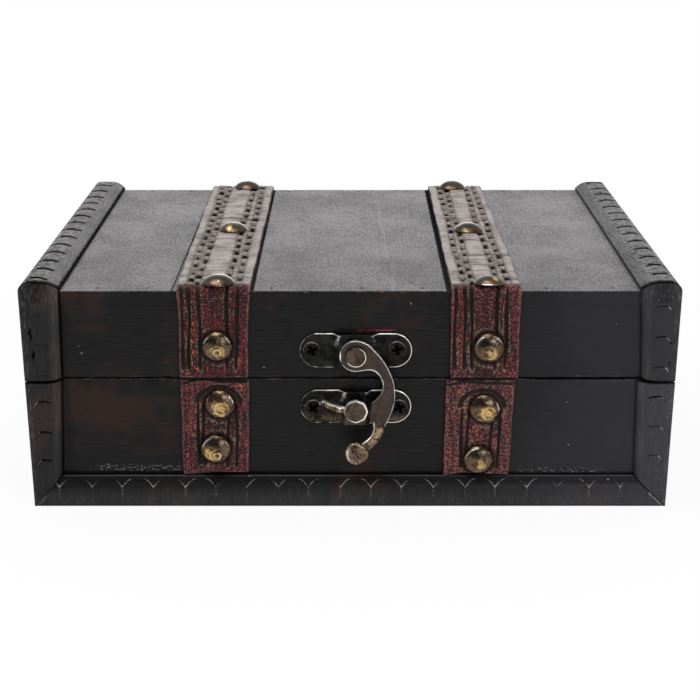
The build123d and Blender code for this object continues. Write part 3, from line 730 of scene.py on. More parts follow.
leather = {
    "thick": 2.2,
    "innerRound": 0.6,
    "step": 0.45,
    "across": 60,
    "tabWide": 24.0,
    "tabLean": 1.0,
    "stitch": 9.3,
    "topRows": {"left": (-8.5, -5.9, 4.45, 8.1), "right": (-7.4, -4.3, 4.3, 8.1)},
    "frontRows": {"left": (-10.6, -8.6, -5.0, 4.9, 8.1), "right": (-10.6, -7.4, -4.7, 3.9, 7.1)},
    "flare": {"left": (1.2, 1.9, 1.0, 1.3), "right": (0.1, 0.1, 0.6, -0.4)},
    "arch": {"left": (1.1, 7.6, 5.9), "right": (0.9, 7.9, 6.6)},
    "archDrop": {"left": 0.0, "right": 1.8},
    "longer": {"left": 0.5, "right": 1.3},
    "slant": {"left": -0.6, "right": 0.3},
    "strapPinkness": {"left": 0.0, "right": 0.42},
    "tabPinkness": {"left": 0.55, "right": 0.75},
    "tabRows": {"left": (-6.3, -4.1, 4.5, 7.5), "right": (-6.0, -3.6, 4.4, 7.4)},
    "grooveDepth": 0.55,
    "holeDepth": 1.0,
    "edgeWave": 0.4,
    "edgeRound": 0.7,
    "darkHalo": 0.78,
    "haloFrom": 5.0,
    "haloReach": 2.2,
    "fold": 31.5,
    "frontTurn": 34.0,
    "backTurn": 32.0,
    "turnBlend": 1.6,
    "topCreases": 62,
    "frontCreases": 6,
    "tabCreases": 9,
    "crown": 0.20,
    "slack": 0.3,
    "tabSlack": 0.25,
    "lift": 0.02,
    "dark": (0.0055, 0.0045, 0.0045),
    "stripe": (0.012, 0.0125, 0.010),
    "wine": (0.058, 0.011, 0.014),
    "red": (0.29, 0.026, 0.029),
    "ember": (0.60, 0.125, 0.030),
    "pink": (0.35, 0.145, 0.130),
    # The next two: the painted sheen on the straps' tops, light and darker.
    "paleSheen": (0.355, 0.315, 0.296),
    "shade": (0.155, 0.126, 0.115),
    "lump": (0.078, 0.059, 0.049),
    "wall": (0.020, 0.013, 0.011),
    "hole": (0.028, 0.022, 0.020),
    "thread": (0.23, 0.21, 0.155),
}


def strapLeather():
    finish = newFinish("strap leather")
    at = finish.place()
    dash = finish.noise(finish.place((1, 1, 0.8)), 1350, 4, 0.8, 0.3)
    fleck = finish.noise(at, 2100, 3, 0.7)
    cloud = finish.noise(at, 150, 3, 0.6)
    patch = finish.noise(at, 75, 2, 0.5)
    streak = finish.noise(finish.place((1, 1, 0.08)), 700, 4, 0.7)
    crownTop = finish.mark("crownTop")
    pinkness = finish.mark("pinkness")
    groove = finish.mark("groove")
    pit = finish.mark("pit")
    wine = finish.between(dash + pinkness * 0.03, 0.45, 0.53)
    body = finish.mix(wine, leather["dark"], leather["wine"])
    body = finish.mix(finish.between(dash * 0.7 + fleck * 0.3, 0.51, 0.58), body, leather["red"])
    body = finish.mix(finish.between(dash * 0.6 + cloud * 0.5, 0.63, 0.70), body, leather["ember"])
    pinks = finish.between(fleck * 0.5 + dash * 0.5 + pinkness * 0.09, 0.55, 0.66)
    body = finish.mix(pinks * (0.35 + 0.65 * pinkness), body, leather["pink"])
    body = finish.mix(finish.between(streak + patch * 0.4, 0.66, 0.82) * 0.7, body, leather["dark"])
    dark = finish.between(groove + (dash - 0.5) * 0.95, 0.50, 0.80)
    ridge = finish.between(groove, 0.16, 0.30) * finish.between(groove, 0.50, 0.36)
    body = finish.mix(dark * 0.88, body, leather["stripe"])
    thread = ridge * finish.between(dash, 0.46, 0.56) * finish.between(cloud, 0.42, 0.52)
    body = finish.mix(thread * 0.8, body, leather["thread"])
    # Painted sheen: the straps' tops take a pale, mottled grey in place of their red.
    paleSheen = finish.mix(finish.between(cloud * 0.6 + dash * 0.4, 0.42, 0.66), leather["paleSheen"],
                      leather["shade"])
    lump = finish.mark("lump") * finish.between(fleck * 0.6 + dash * 0.4, 0.36, 0.52)
    paleSheen = finish.mix(lump * 0.95, paleSheen, leather["lump"])
    # Painted shade in the creases across the tops.
    crease = finish.between(finish.mark("crease") + (fleck - 0.5) * 0.3, 0.30, 0.75)
    paleSheen = finish.mix(crease * 0.62, paleSheen, leather["wall"])
    # Painted shade in the stitch notches.
    hole = finish.between(pit + (dash - 0.5) * 1.4, 0.30, 0.78)
    paleSheen = finish.mix(hole, paleSheen, leather["hole"])
    colour = finish.mix(crownTop, body, paleSheen)
    cut = finish.mark("cut") * finish.between(fleck, 0.46, 0.60)
    colour = finish.mix(cut * (1 - crownTop), colour, leather["pink"])
    # The side walls and the flat underside go dark, for their cut edge and as painted shade.
    wall = finish.between(finish.mark("wall"), 0.3, 0.7)
    colour = finish.mix(wall, colour, leather["wall"])
    black = dark * (1 - crownTop) * 0.55 + hole * crownTop * 0.85 + wall * 0.8
    return finish.surface({
        "Base Color": colour,
        "Metallic": finish.between(black, 0.0, 1.0),
        "Roughness": 0.50 + 0.2 * fleck - 0.1 * dark + 0.4 * hole * crownTop,
        "Specular IOR Level": 0.22,
        "Sheen Weight": 0.08,
        "Sheen Roughness": 0.4,
        "Normal": finish.bump(dash * 0.7 + fleck * 0.3, 0.8, 0.3),
    })


leatherFinish = strapLeather()


# Pressed grooves that run along the leather: their sink, and how near a point is to one.
def grooves(run, across, rows, seed):
    sink = np.zeros_like(across)
    near = np.zeros_like(across)
    for number, row in enumerate(rows):
        drift = 0.25 * np.sin(run / 11 + number * 2 + seed) + 0.15 * np.sin(run / 3.3 + number)
        off = across - row - drift
        sink += leather["grooveDepth"] * bell(off, 0.5)
        sink -= 0.18 * (bell(off - 1.05, 0.35) + bell(off + 1.05, 0.35))
        near = np.maximum(near, bell(off, 0.82 + 0.2 * np.sin(run / 5 + number)))
    return sink, near


# Stitched rows: a notch at each stitch with painted shade in it and just past it,
# and a rounded lump of leather behind it.
def stitches(run, across, rows, luck):
    sink = np.zeros_like(across)
    pit = np.zeros_like(across)
    lump = np.zeros_like(across)
    pitch = leather["stitch"]
    for number, row in enumerate(rows):
        phase = pitch * (0.35 * (number % 2) + 0.17 * number)
        count = np.floor((run + phase) / pitch).astype(int)
        wander = luck.uniform(-1, 1, (3, 60))[:, count % 60]
        off = across - row - 0.2 * np.sin(run / 17 + number * 2) - 0.25 * wander[0]
        beat = np.mod(run + phase, pitch) - pitch * 0.3 - 0.9 * wander[1]
        wide = 0.58 + 0.24 * wander[2]
        inLine = bell(np.maximum(np.abs(off) - wide * (0.9 - 0.15 * np.clip(beat, 0, 2.5)), 0), 0.45)
        notch = bell(np.maximum(np.abs(beat) - 1.4, 0), 0.9) * inLine
        rise = bell(beat - pitch * 0.42, 2.4) * bell(off, 1.0)
        sink += leather["holeDepth"] * notch + 0.30 * bell(off, 1.3) - 0.6 * rise
        shadowEnd = np.maximum(np.abs(beat - 0.6) - 1.0 - 0.4 * wander[0], 0)
        pit = np.maximum(pit, (0.85 + 0.15 * wander[2]) * bell(shadowEnd, 0.9) * inLine)
        tail = bell(np.maximum(beat - 1.8, 0), 1.5) * (beat > 0.5)
        pit = np.maximum(pit, 0.5 * tail * bell(off + 0.35, 0.5))
        lump = np.maximum(lump, np.maximum(bell(np.abs(off) - 0.95, 0.6), 0.45 * bell(off, 0.9)))
    return sink, pit, lump


# Short creases that cross a strap, each a narrow valley of its own length and bend.
def creases(run, across, luck, first, last, count):
    sink = np.zeros_like(across)
    for place in luck.uniform(first, last, count):
        middle, reach = luck.uniform(-10, 10), luck.uniform(3, 10)
        lean, bend = luck.uniform(-0.12, 0.12), luck.uniform(-0.02, 0.02)
        line = place + lean * (across - middle) + bend * (across - middle) ** 2
        depth = luck.uniform(0.06, 0.38)
        sink += depth * bell(run - line, luck.uniform(0.35, 0.55)) * bell(across - middle, reach)
    return sink


# A dark ring round the nail heads.
def darkHalo(x, z, spots):
    halo = np.zeros_like(x)
    for nailX, nailZ in spots:
        past = np.hypot(x - nailX, z - nailZ) - leather["haloFrom"]
        halo = np.maximum(halo, bell(np.maximum(past, 0), leather["haloReach"]))
    return leather["darkHalo"] * halo


# A quarter round at each long edge.
def edgeSink(across, half):
    soft = leather["edgeRound"]
    past = np.clip((np.abs(across) - (half - soft)) / soft, 0, 1)
    return soft * 0.9 * (1 - np.sqrt(1 - 0.98 * past**2))


def wandering(run, luck):
    wave = np.sin(run / 3.1) * 0.3 + np.sin(run / 9.7) * 0.45
    return leather["edgeWave"] * (wave + luck.uniform(-0.3, 0.3, run.shape))


# Points straight across the leather, the same at every station along it.
def acrossRows(half, count):
    return np.broadcast_to(np.linspace(-half, half, leather["across"]), (count, leather["across"]))


# Values of the outer face, thinned out and turned round for the flat face that lies on the wood.
def underside(values):
    return values[:, ::-1][:, :: leather["across"] // 6]


# Stations up the lid's front, over its top and down its back: how far along the strap each
# one is, its Y and Z on the wood, and which way is outwards there.
def strapPath(endZ):
    bend = leather["innerRound"]
    turnLong = (bend + leather["thick"] / 2) * math.pi / 2

    def turn(reach, centreY, first):
        for share in np.linspace(0, 1, 9)[1:-1]:
            angle = first + share * math.pi / 2
            outY, outZ = -math.cos(angle), math.sin(angle)
            yield reach + turnLong * share, centreY + bend * outY, topZ - bend + bend * outZ, outY, outZ

    wall = np.arange(endZ, topZ - bend, leather["step"])
    stations = [(z - endZ, frontY, z, -1.0, 0.0) for z in wall]
    reach = topZ - bend - endZ
    stations += turn(reach, frontY + bend, 0)
    reach += turnLong
    stations += [(reach + y - frontY - bend, y, topZ, 0.0, 1.0)
                 for y in np.arange(frontY + bend, backY - bend, leather["step"])]
    reach += backY - frontY - 2 * bend
    stations += turn(reach, backY - bend, math.pi / 2)
    reach += turnLong
    stations += [(reach + topZ - bend - z, backY, z, 1.0, 0.0) for z in wall[::-1]]
    return [np.array(column)[:, None] for column in zip(*stations)]


def makeStrap(side, seed):
    name = f"lid_{side}_strap"
    low, high = nodeBox(name)
    luck = np.random.default_rng(seed)
    middle, half = (low[0] + high[0]) / 2, (high[0] - low[0]) / 2
    run, y, z, outY, outZ = strapPath(low[2])
    toBack = run[-1] - run
    toEnd = np.minimum(run, toBack)
    across = acrossRows(half, len(run))
    frontTurn, backTurn, blend = leather["frontTurn"], leather["backTurn"], leather["turnBlend"]
    onTop = ease(run, frontTurn, frontTurn + blend) * ease(toBack, backTurn, backTurn + blend)
    cutSink, groove = grooves(run, across, leather["frontRows"][side], seed)
    topSink, pit, lump = stitches(run, across, leather["topRows"][side], luck)
    lidEnd = ease(toEnd, 0.5, 5)
    sink = cutSink * (1 - onTop) * lidEnd + topSink * onTop
    crease = creases(run, across, luck, frontTurn, run[-1, 0] - frontTurn, leather["topCreases"])
    sink = sink + crease + creases(run, across, luck, 2, 32, leather["frontCreases"]) * 0.6
    toFold = toEnd - leather["fold"]
    bent = 0.35 * bell(toFold + 3.1, 0.4) * bell(across - 3 * math.sin(seed), 9)
    sink = sink + bent - leather["crown"] * bell(across, 3.2) * onTop + edgeSink(across, half)
    sink = sink + leather["slack"] + 0.10 * np.sin(run / 5.3 + seed)
    wander = wandering(run, luck) * np.sign(across) * ease(np.abs(across), 6, half)
    slant = leather["slant"][side] * (1 - ease(run, 0, frontTurn))
    x = middle + across * (1 - 0.3 / half) + wander * 0.7 + slant
    frontLeft, backLeft, frontRight, backRight = leather["flare"][side]
    along = ease(run, frontTurn, run[-1] - frontTurn)
    spread = np.where(across < 0, -frontLeft - (backLeft - frontLeft) * along,
                      frontRight + (backRight - frontRight) * along)
    x = x + spread * np.abs(across / half) ** 3 * ease(run, 20, 36) * ease(toBack, 20, 36)
    thick = leather["thick"] - sink
    outer = np.stack([x, y + outY * thick, z + outZ * thick], -1)
    lift = leather["lift"]
    flat = np.stack([x, y + outY * lift + 0 * x, z + outZ * lift + 0 * x], -1)
    groove = np.maximum(groove, bent * 2.4) * (1 - onTop) * lidEnd
    groove = np.maximum(groove, 1.3 * bell(toEnd, 0.5))
    halo = darkHalo(x, low[2] + toEnd, [nail["onStrap"][side]])
    # Painted highlight: the leather turns pinker just below the fold.
    pinkness = leather["strapPinkness"][side] + 0.25 * bell(toFold, 2.2)
    marks = {"groove": np.maximum(groove, halo * (1 - onTop)), "pit": pit, "lump": lump,
             "crownTop": onTop + 0 * across, "crease": np.clip(crease * 4.2, 0, 1) * onTop,
             "wall": (np.abs(across) > half - 0.1) * onTop,
             "cut": ease(np.abs(across), half - 0.9, half - 0.2),
             "pinkness": pinkness + 0 * across}
    marks = {key: np.concatenate([value, underside(value)], 1) for key, value in marks.items()}
    # Painted shade on the flat face under the strap's top.
    marks["wall"][:, leather["across"] :] = onTop
    rings = np.concatenate([outer, underside(flat)], 1)
    makePiece(name, "leather", [skin(rings, marks)], leatherFinish, "lid")


# A tab of the same leather on the base, nailed below the strap's end.
def makeTab(face, side, seed):
    name = f"{face}_{side}_tab"
    low, high = nodeBox(name)
    luck = np.random.default_rng(seed)
    middle, half = (low[0] + high[0]) / 2, leather["tabWide"] / 2
    onFront = face == "front"
    lean = math.radians(leather["tabLean"]) if onFront else 0.0
    outward = -1.0 if onFront else 1.0
    wallY = frontY if onFront else backY
    length = high[2] - low[2]
    share = np.linspace(0, 1, int(length / leather["step"]))[:, None]
    across = acrossRows(half, len(share))
    curl = 1.1 * bell(across + 3, 8) - 0.3 * np.sin(across / 3 + seed)
    longer = leather["longer"][side] if onFront else 0.0
    foot = low[2] - longer + np.clip(curl - 0.3, 0, 1.2) - 0.9 * ease(-across, 5, 12)
    up = foot + (high[2] - 0.3 * np.abs(np.sin(across / 2.2 + seed)) - foot) * share
    run = up - foot
    cutSink, groove = grooves(run, across, leather["tabRows"][side], seed)
    archMiddle, archWide, archHigh = leather["arch"][side]
    nailUp = nodeBox(f"{face}_tab_nails")[1][2] - nail["radius"] - leather["archDrop"][side]
    past = np.clip(up - nailUp, 0, None)
    ring = (np.hypot((across - archMiddle) / archWide, past / archHigh) - 1) * archHigh
    above = ease(up, nailUp - 1, nailUp + 0.5)
    cutSink = cutSink * (1 - above) + leather["grooveDepth"] * bell(ring, 0.6) * above
    groove = np.maximum(groove * (1 - above), bell(ring, 1.0) * above)
    fade = ease(run, 0.5, 3)
    sink = cutSink * fade + creases(run, across, luck, 1, length, leather["tabCreases"])
    ends = np.maximum(np.clip((0.8 - run) / 0.8, 0, 1), np.clip((0.6 - (length - run)) / 0.6, 0, 1))
    sink = sink + edgeSink(across, half) + 0.6 * (1 - np.sqrt(1 - 0.98 * ends**2))
    sink = sink + leather["tabSlack"]
    wander = wandering(run + seed, luck) * np.sign(across) * ease(np.abs(across), 6, half)
    x = middle + across * 0.975 + wander * 0.7
    x = x + math.tan(lean) * (up - (low[2] + high[2]) / 2)
    outer = np.stack([x, wallY + outward * (leather["thick"] - sink), up], -1)
    flat = underside(np.stack([x, np.full_like(x, wallY + outward * leather["lift"]), up], -1))
    cut = np.maximum(ease(np.abs(across), half - 0.9, half - 0.2), ease(0.9 - run, 0, 0.7))
    seam = np.maximum(1.3 * bell(length - run, 0.55), darkHalo(x, up, nail["onTab"][side]))
    marks = {"groove": np.maximum(groove * fade, seam), "cut": cut,
             "pinkness": leather["tabPinkness"][side] + 0 * across}
    blank = np.zeros(flat.shape[:2])
    marks = {key: np.concatenate([value, blank], 1) for key, value in marks.items()}
    rings = np.concatenate([outer, flat], 1)
    makePiece(name, "leather", [skin(rings, marks)], leatherFinish, "base")


nail = {
    "radius": 5.5,
    "rim": 0.3,
    "frontRim": 0.7,
    "dome": 2.6,
    "spokes": 64,
    "circles": 30,
    "onStrap": {"left": (-45.7, 59.5), "right": (47.9, 59.0)},
    "onTab": {"left": [(-45.4, 38.2), (-47.2, 21.3)], "right": [(47.1, 36.5), (45.4, 17.1)]},
}

for number, side in enumerate(("left", "right")):
    makeStrap(side, 41 + number)
    makeTab("front", side, 51 + number)
    makeTab("back", side, 61 + number)
print("leather laid")


metal = {
    "brass": (0.60, 0.40, 0.165),
    "patina": (0.172, 0.117, 0.074),
    "umber": (0.062, 0.042, 0.029),
    "dusk": (0.030, 0.031, 0.030),
    "shine": (1.0, 0.92, 0.89),
    "bronze": (0.078, 0.059, 0.051),
    "bronzeDark": (0.052, 0.039, 0.033),
    "sheet": (0.028, 0.027, 0.025),
    "sheetDark": (0.010, 0.010, 0.010),
    "gilt": (0.215, 0.150, 0.094),
    "giltDark": (0.026, 0.018, 0.013),
    "crevice": (0.003, 0.003, 0.003),
    "dirt": (0.012, 0.009, 0.007),
    "edgeGlintAndWear": (0.86, 0.82, 0.76),
    "screwDark": (0.012, 0.011, 0.011),
    "screw": (0.05, 0.046, 0.043),
    "hingeDark": (0.06, 0.048, 0.036),
    "hinge": (0.20, 0.155, 0.10),
}


def agedBrass():
    finish = newFinish("aged brass")
    at = finish.place()
    blot = finish.noise(at, 420, 4, 0.65, 0.8)
    fine = finish.noise(at, 1500, 4, 0.6)
    rubbed = finish.mark("rubbed")
    pit = finish.mark("pit")
    gold = finish.between(blot * 0.9 + fine * 0.3 + rubbed * 0.55, 0.80, 1.15)
    patina = finish.between(blot * 0.6 + fine * 0.4, 0.42, 0.58)
    colour = finish.mix(patina, metal["umber"], metal["patina"])
    colour = finish.mix(gold, colour, metal["brass"])
    # Painted shade and dark reflection where the dusk mark lies.
    dusk = finish.between(finish.mark("dusk") + (blot - 0.5) * 0.8, 0.25, 1.0)
    colour = finish.mix(dusk, colour, metal["dusk"])
    # Painted highlights where the shine mark lies.
    bright = finish.between(finish.mark("shine") + (blot - 0.5) * 0.5, 0.35, 0.70)
    colour = finish.mix(bright, colour, metal["shine"])
    colour = finish.mix(finish.between(fine, 0.60, 0.72) * 0.7, colour, metal["dusk"])
    colour = finish.mix(pit * 0.95, colour, metal["dirt"])
    return finish.surface({
        "Base Color": colour,
        "Metallic": 1.0,
        "Roughness": 0.15 + fine * 0.14 + pit * 0.3,
        "Normal": finish.bump(blot * 0.6 + fine * 0.4, 0.7, 0.3),
    })


def agedBronze(name, dark, plain):
    finish = newFinish(name)
    at = finish.place()
    blot = finish.noise(at, 330, 4, 0.65, 0.5)
    fine = finish.noise(at, 1700, 3, 0.6)
    wearAndGlint = finish.mark("wearAndGlint")
    gilt = finish.mark("gilt")
    colour = finish.mix(finish.between(blot, 0.34, 0.66), dark, plain)
    patches = finish.between(blot * 0.6 + fine * 0.4, 0.43, 0.53)
    patchy = finish.mix(patches, metal["giltDark"], metal["gilt"])
    glitter = finish.between(fine * 0.5 + blot * 0.5, 0.58, 0.66) * gilt
    patchy = finish.mix(glitter, patchy, metal["edgeGlintAndWear"])
    colour = finish.mix(finish.between(gilt, 0.0, 0.5), colour, patchy)
    # Worn edges and painted highlights, in a near-white.
    bareAndGlint = finish.between(wearAndGlint + (blot - 0.5) * 0.7, 0.40, 0.75)
    colour = finish.mix(bareAndGlint, colour, metal["edgeGlintAndWear"])
    pit = finish.mark("pit")
    colour = finish.mix(pit, colour, metal["crevice"])
    return finish.surface({
        "Base Color": colour,
        "Metallic": 1.0,
        "Roughness": 0.40 - wearAndGlint * 0.12 + fine * 0.14 + pit * 0.3,
        "Normal": finish.bump(blot * 0.4 + fine * 0.3, 0.3, 0.15),
    })


def plainMetal(name, base, light, roughness):
    finish = newFinish(name)
    at = finish.place()
    blot = finish.noise(at, 500, 4, 0.65)
    fine = finish.noise(at, 2400, 3, 0.6)
    colour = finish.mix(finish.between(blot, 0.35, 0.7), base, light)
    return finish.surface({
        "Base Color": colour,
        "Metallic": 0.85,
        "Roughness": roughness + 0.15 * fine,
        "Normal": finish.bump(blot * 0.5 + fine * 0.5, 0.35, 0.12),
    })


brassFinish = agedBrass()
bronzeFinish = agedBronze("antique bronze", metal["bronzeDark"], metal["bronze"])
sheetFinish = agedBronze("blackened sheet", metal["sheetDark"], metal["sheet"])
screwFinish = plainMetal("dark screw", metal["screwDark"], metal["screw"], 0.4)
hingeFinish = plainMetal("hinge bronze", metal["hingeDark"], metal["hinge"], 0.36)
for node in ("hinge_lid_screws", "hinge_base_screws", "top_board_brads"):
    finishNode(node, screwFinish)
for node in ("left_hinge_base_leaf", "left_hinge_lid_leaf", "right_hinge_base_leaf",
             "right_hinge_lid_leaf", "left_hinge_pin", "right_hinge_pin"):
    finishNode(node, hingeFinish)


# One nail head as rings from its underside to its crown.
def nailHead(place, outward, upward, luck, ring, gold, shines, tilt=0.0):
    outward, upward = np.array(outward, float), np.array(upward, float)
    if tilt:
        angle = math.radians(tilt)
        outward, upward = (outward * math.cos(angle) - upward * math.sin(angle),
                           upward * math.cos(angle) + outward * math.sin(angle))
    beside = np.cross(upward, outward)
    radius = nail["radius"]
    spoke = np.linspace(0, 2 * math.pi, nail["spokes"], endpoint=False)
    share = np.sin(np.linspace(1, 0.004, nail["circles"]) * math.pi / 2)[:, None]
    u = radius * share * np.cos(spoke)
    v = radius * share * np.sin(spoke)
    onLid = outward[2] > 0.5
    onFront = outward[1] < -0.5
    rim = nail["frontRim"] if onFront else nail["rim"]
    steep = 0.78 if onFront else 0.85
    height = rim + nail["dome"] * (1 - (share + 0 * spoke) ** 2.3) ** steep
    for _ in range(7):
        du, dv = luck.uniform(-3.6, 3.6, 2)
        deep, wide = luck.uniform(-0.10, 0.20), luck.uniform(0.9, 2.0)
        height = height - deep * bell(np.hypot(u - du, v - dv), wide)
    toRing = np.hypot(u - ring[0], v - ring[1])
    fit = 1 - share**4
    height = height + ring[2] * (0.22 * bell(toRing - 1.25, 0.42) - 0.42 * bell(toRing, 0.62)) * fit
    rubbed = bell(np.hypot(u - gold[0], v - gold[1]), gold[2])
    slot = np.hypot((u - ring[0]) / 1.5, v - ring[1])
    pit = bell(slot, 0.62) * min(1.0, ring[2]) + 0.6 * ring[2] * bell(toRing - 1.85, 0.22)
    rubbed = rubbed + 0.3 * np.sin(3.4 * toRing) * bell(toRing, 3.2)
    rubbed = np.maximum(rubbed, ring[2] * bell(toRing - 1.3, 0.45))
    # Painted highlights: a bright ring, and the shines as bright arcs at the rim or a band over a top
    # nail's crest.
    shine = 0.49 * ring[2] * bell(toRing - 1.3, 0.35)
    for angle, spread, strength in shines:
        turn = np.abs(np.mod(spoke - math.radians(angle) + math.pi, 2 * math.pi) - math.pi)
        streak = bell(share - 0.87, 0.06)
        if onLid and angle == 90:
            crest = np.sqrt(np.clip(1 - (u / radius) ** 2, 0, 1))
            streak = bell(v - 1.2 * crest, 0.4 + 1.0 * crest)
        elif onLid:
            streak = bell(share - 0.97, 0.02)
        shine = np.maximum(shine, strength * streak * bell(turn, spread))
    # Painted dark reflection and shade: dusk darkens a front nail's upper middle and lower rim, a top
    # nail's near half, and the underside.
    dusk = 0.9 * bell(v - 2.5, 1.8) * bell(u, 3.4) + 0.45 * ease(-v, 2.6, 4.8)
    if onLid:
        dusk = 0.95 * bell(v + 2.2, 2.0)
    dusk = dusk * (1 - 0.8 * np.clip(rubbed, 0, 1))
    low = [np.stack([radius * r * np.cos(spoke), radius * r * np.sin(spoke), 0 * spoke + h], -1)
           for r, h in ((0.96, 0.02), (1.0, rim * 0.6))]
    rings = np.stack(low + list(np.stack([u, v, height], -1)))
    blank = np.zeros((2, nail["spokes"]))
    marks = {"rubbed": np.vstack([blank + 0.5, np.maximum(rubbed, ease(share, 0.95, 1.0) * 0.3)]),
             "pit": np.vstack([blank, pit * (1 + 0 * share)]), "shine": np.vstack([blank, shine]),
             "dusk": np.vstack([blank + 0.6, dusk + 0 * v])}
    world = rings[..., :1] * beside + rings[..., 1:2] * upward + rings[..., 2:] * outward
    return skin(np.array(place) + world, marks)


# Every nail head: its place and facing, its ring, its rubbed spot, its painted shines and its tilt.
def makeNails():
    luck = np.random.default_rng(7)
    proud = leather["thick"]
    front, back, top = (0, -1, 0), (0, 1, 0), (0, 0, 1)
    up, away = (0, 0, 1), (0, 1, 0)
    faceY, rearY, crownZ = frontY - proud + 0.05, backY + proud - 0.2, topZ + proud - 0.05
    sides, arc = [(142, 0.42, 0.95), (38, 0.45, 0.85)], [(90, 4.0, 1.0)]

    def onStrap(side, y):
        x, z = nail["onStrap"][side]
        return x, y, z

    def onTab(side, number, y):
        x, z = nail["onTab"][side][number]
        return x, y, z

    lidNails = {
        "left": [(onStrap("left", faceY), front, up, (0.2, -1.3, 1.0), (0.9, -1.0, 2.7), sides, 0),
                 ((-45.1, frontY + 2.6, crownZ), top, away, (0.5, 0.6, 0.0), (0.5, -4.0, 0.3), arc, 0),
                 ((-45.5, -2.0, crownZ), top, away, (0, 0, 0.0), (-1.4, -3.6, 1.7), arc, 0),
                 ((-45.0, backY - 4.4, crownZ - 0.1), top, away, (0, 0, 0.0), (0, 0, 0.3), arc, 0),
                 (onStrap("left", rearY), back, up, (0.5, 0.4, 0.8), (0, 0, 2.5), sides, 0)],
        "right": [(onStrap("right", faceY), front, up, (-0.3, -0.9, 0.35), (1.3, -1.2, 2.6),
                   [(135, 0.5, 1.0), (50, 0.55, 1.0)], 0),
                  ((47.7, frontY + 1.6, crownZ - 0.05), top, away, (0, 0, 0.0), (1.6, -3.0, 1.2),
                   [(90, 4.0, 1.0), (270, 0.8, 0.8)], -7),
                  ((45.9, -2.4, crownZ), top, away, (0, 0, 0.0), (0.5, -4.0, 0.3), arc, 0),
                  ((44.7, backY - 4.4, crownZ - 0.1), top, away, (0, 0, 0.0), (1, 0, 0.3), arc, 0),
                  (onStrap("right", rearY), back, up, (0.5, 0.4, 0.8), (0, 0, 2.5), sides, 0)],
    }
    tabNails = {
        "front": [(onTab("left", 0, faceY), front, up, (0.9, -1.0, 0.45), (0.0, -0.6, 3.9),
                   [(30, 0.4, 1.0), (150, 0.3, 0.6)], 0),
                  (onTab("left", 1, faceY), front, up, (0.5, -1.6, 1.1), (-1.6, -1.4, 3.2),
                   [(135, 0.6, 1.0), (35, 0.3, 0.8)], 0),
                  (onTab("right", 0, faceY), front, up, (1.2, -0.8, 0.2), (0.6, -0.8, 3.8),
                   [(15, 0.5, 0.9), (300, 0.4, 0.9)], 0),
                  (onTab("right", 1, faceY), front, up, (0.6, 0.2, 0.45), (0.8, -0.9, 2.0),
                   [(130, 0.7, 0.9), (40, 0.3, 0.6)], 0)],
        "back": [(onTab("left", 0, rearY), back, up, (0.3, 0.5, 0.6), (0.4, 0, 2.6), sides, 0),
                 (onTab("left", 1, rearY), back, up, (0.5, 0.3, 0.6), (0, 0.3, 2.6), sides, 0),
                 (onTab("right", 0, rearY), back, up, (0.1, 0.5, 0.6), (0.5, 0, 2.6), sides, 0),
                 (onTab("right", 1, rearY), back, up, (0.4, 0.1, 0.6), (0, 0.2, 2.6), sides, 0)],
    }
    for body, groups in (("lid", lidNails), ("base", tabNails)):
        for group, heads in groups.items():
            skins = [nailHead(at, out, upward, luck, ring, gold, shines, tilt)
                     for at, out, upward, ring, gold, shines, tilt in heads]
            node = f"lid_{group}_nails" if body == "lid" else f"{group}_tab_nails"
            makePiece(node, "heads", skins, brassFinish, body)


makeNails()
print("nails driven")


latch = {
    "plateLong": 39.0,
    "plateHigh": 12.5,
    "plateThick": 1.0,
    "bridgeRise": 2.2,
    "bevel": 0.27,
    "screw": 3.0,
    "eyeRadius": 5.6,
    "armBack": 3.4,
    "armThick": 2.0,
    "padDrop": 34.7,
    "padRadius": 4.2,
    "padDeep": 3.1,
    "rivetRadius": 3.6,
    "stemRadius": 1.8,
    "stemBack": 2.3,
    "postDrop": 19.4,
    "postRadius": 4.1,
    "hookScrews": [(-13.2, 57.9, 0.5), (16.2, 58.2, 0.2)],
    "catchScrews": [(-12.9, 36.6, 0.7), (17.2, 36.6, 0.4)],
}


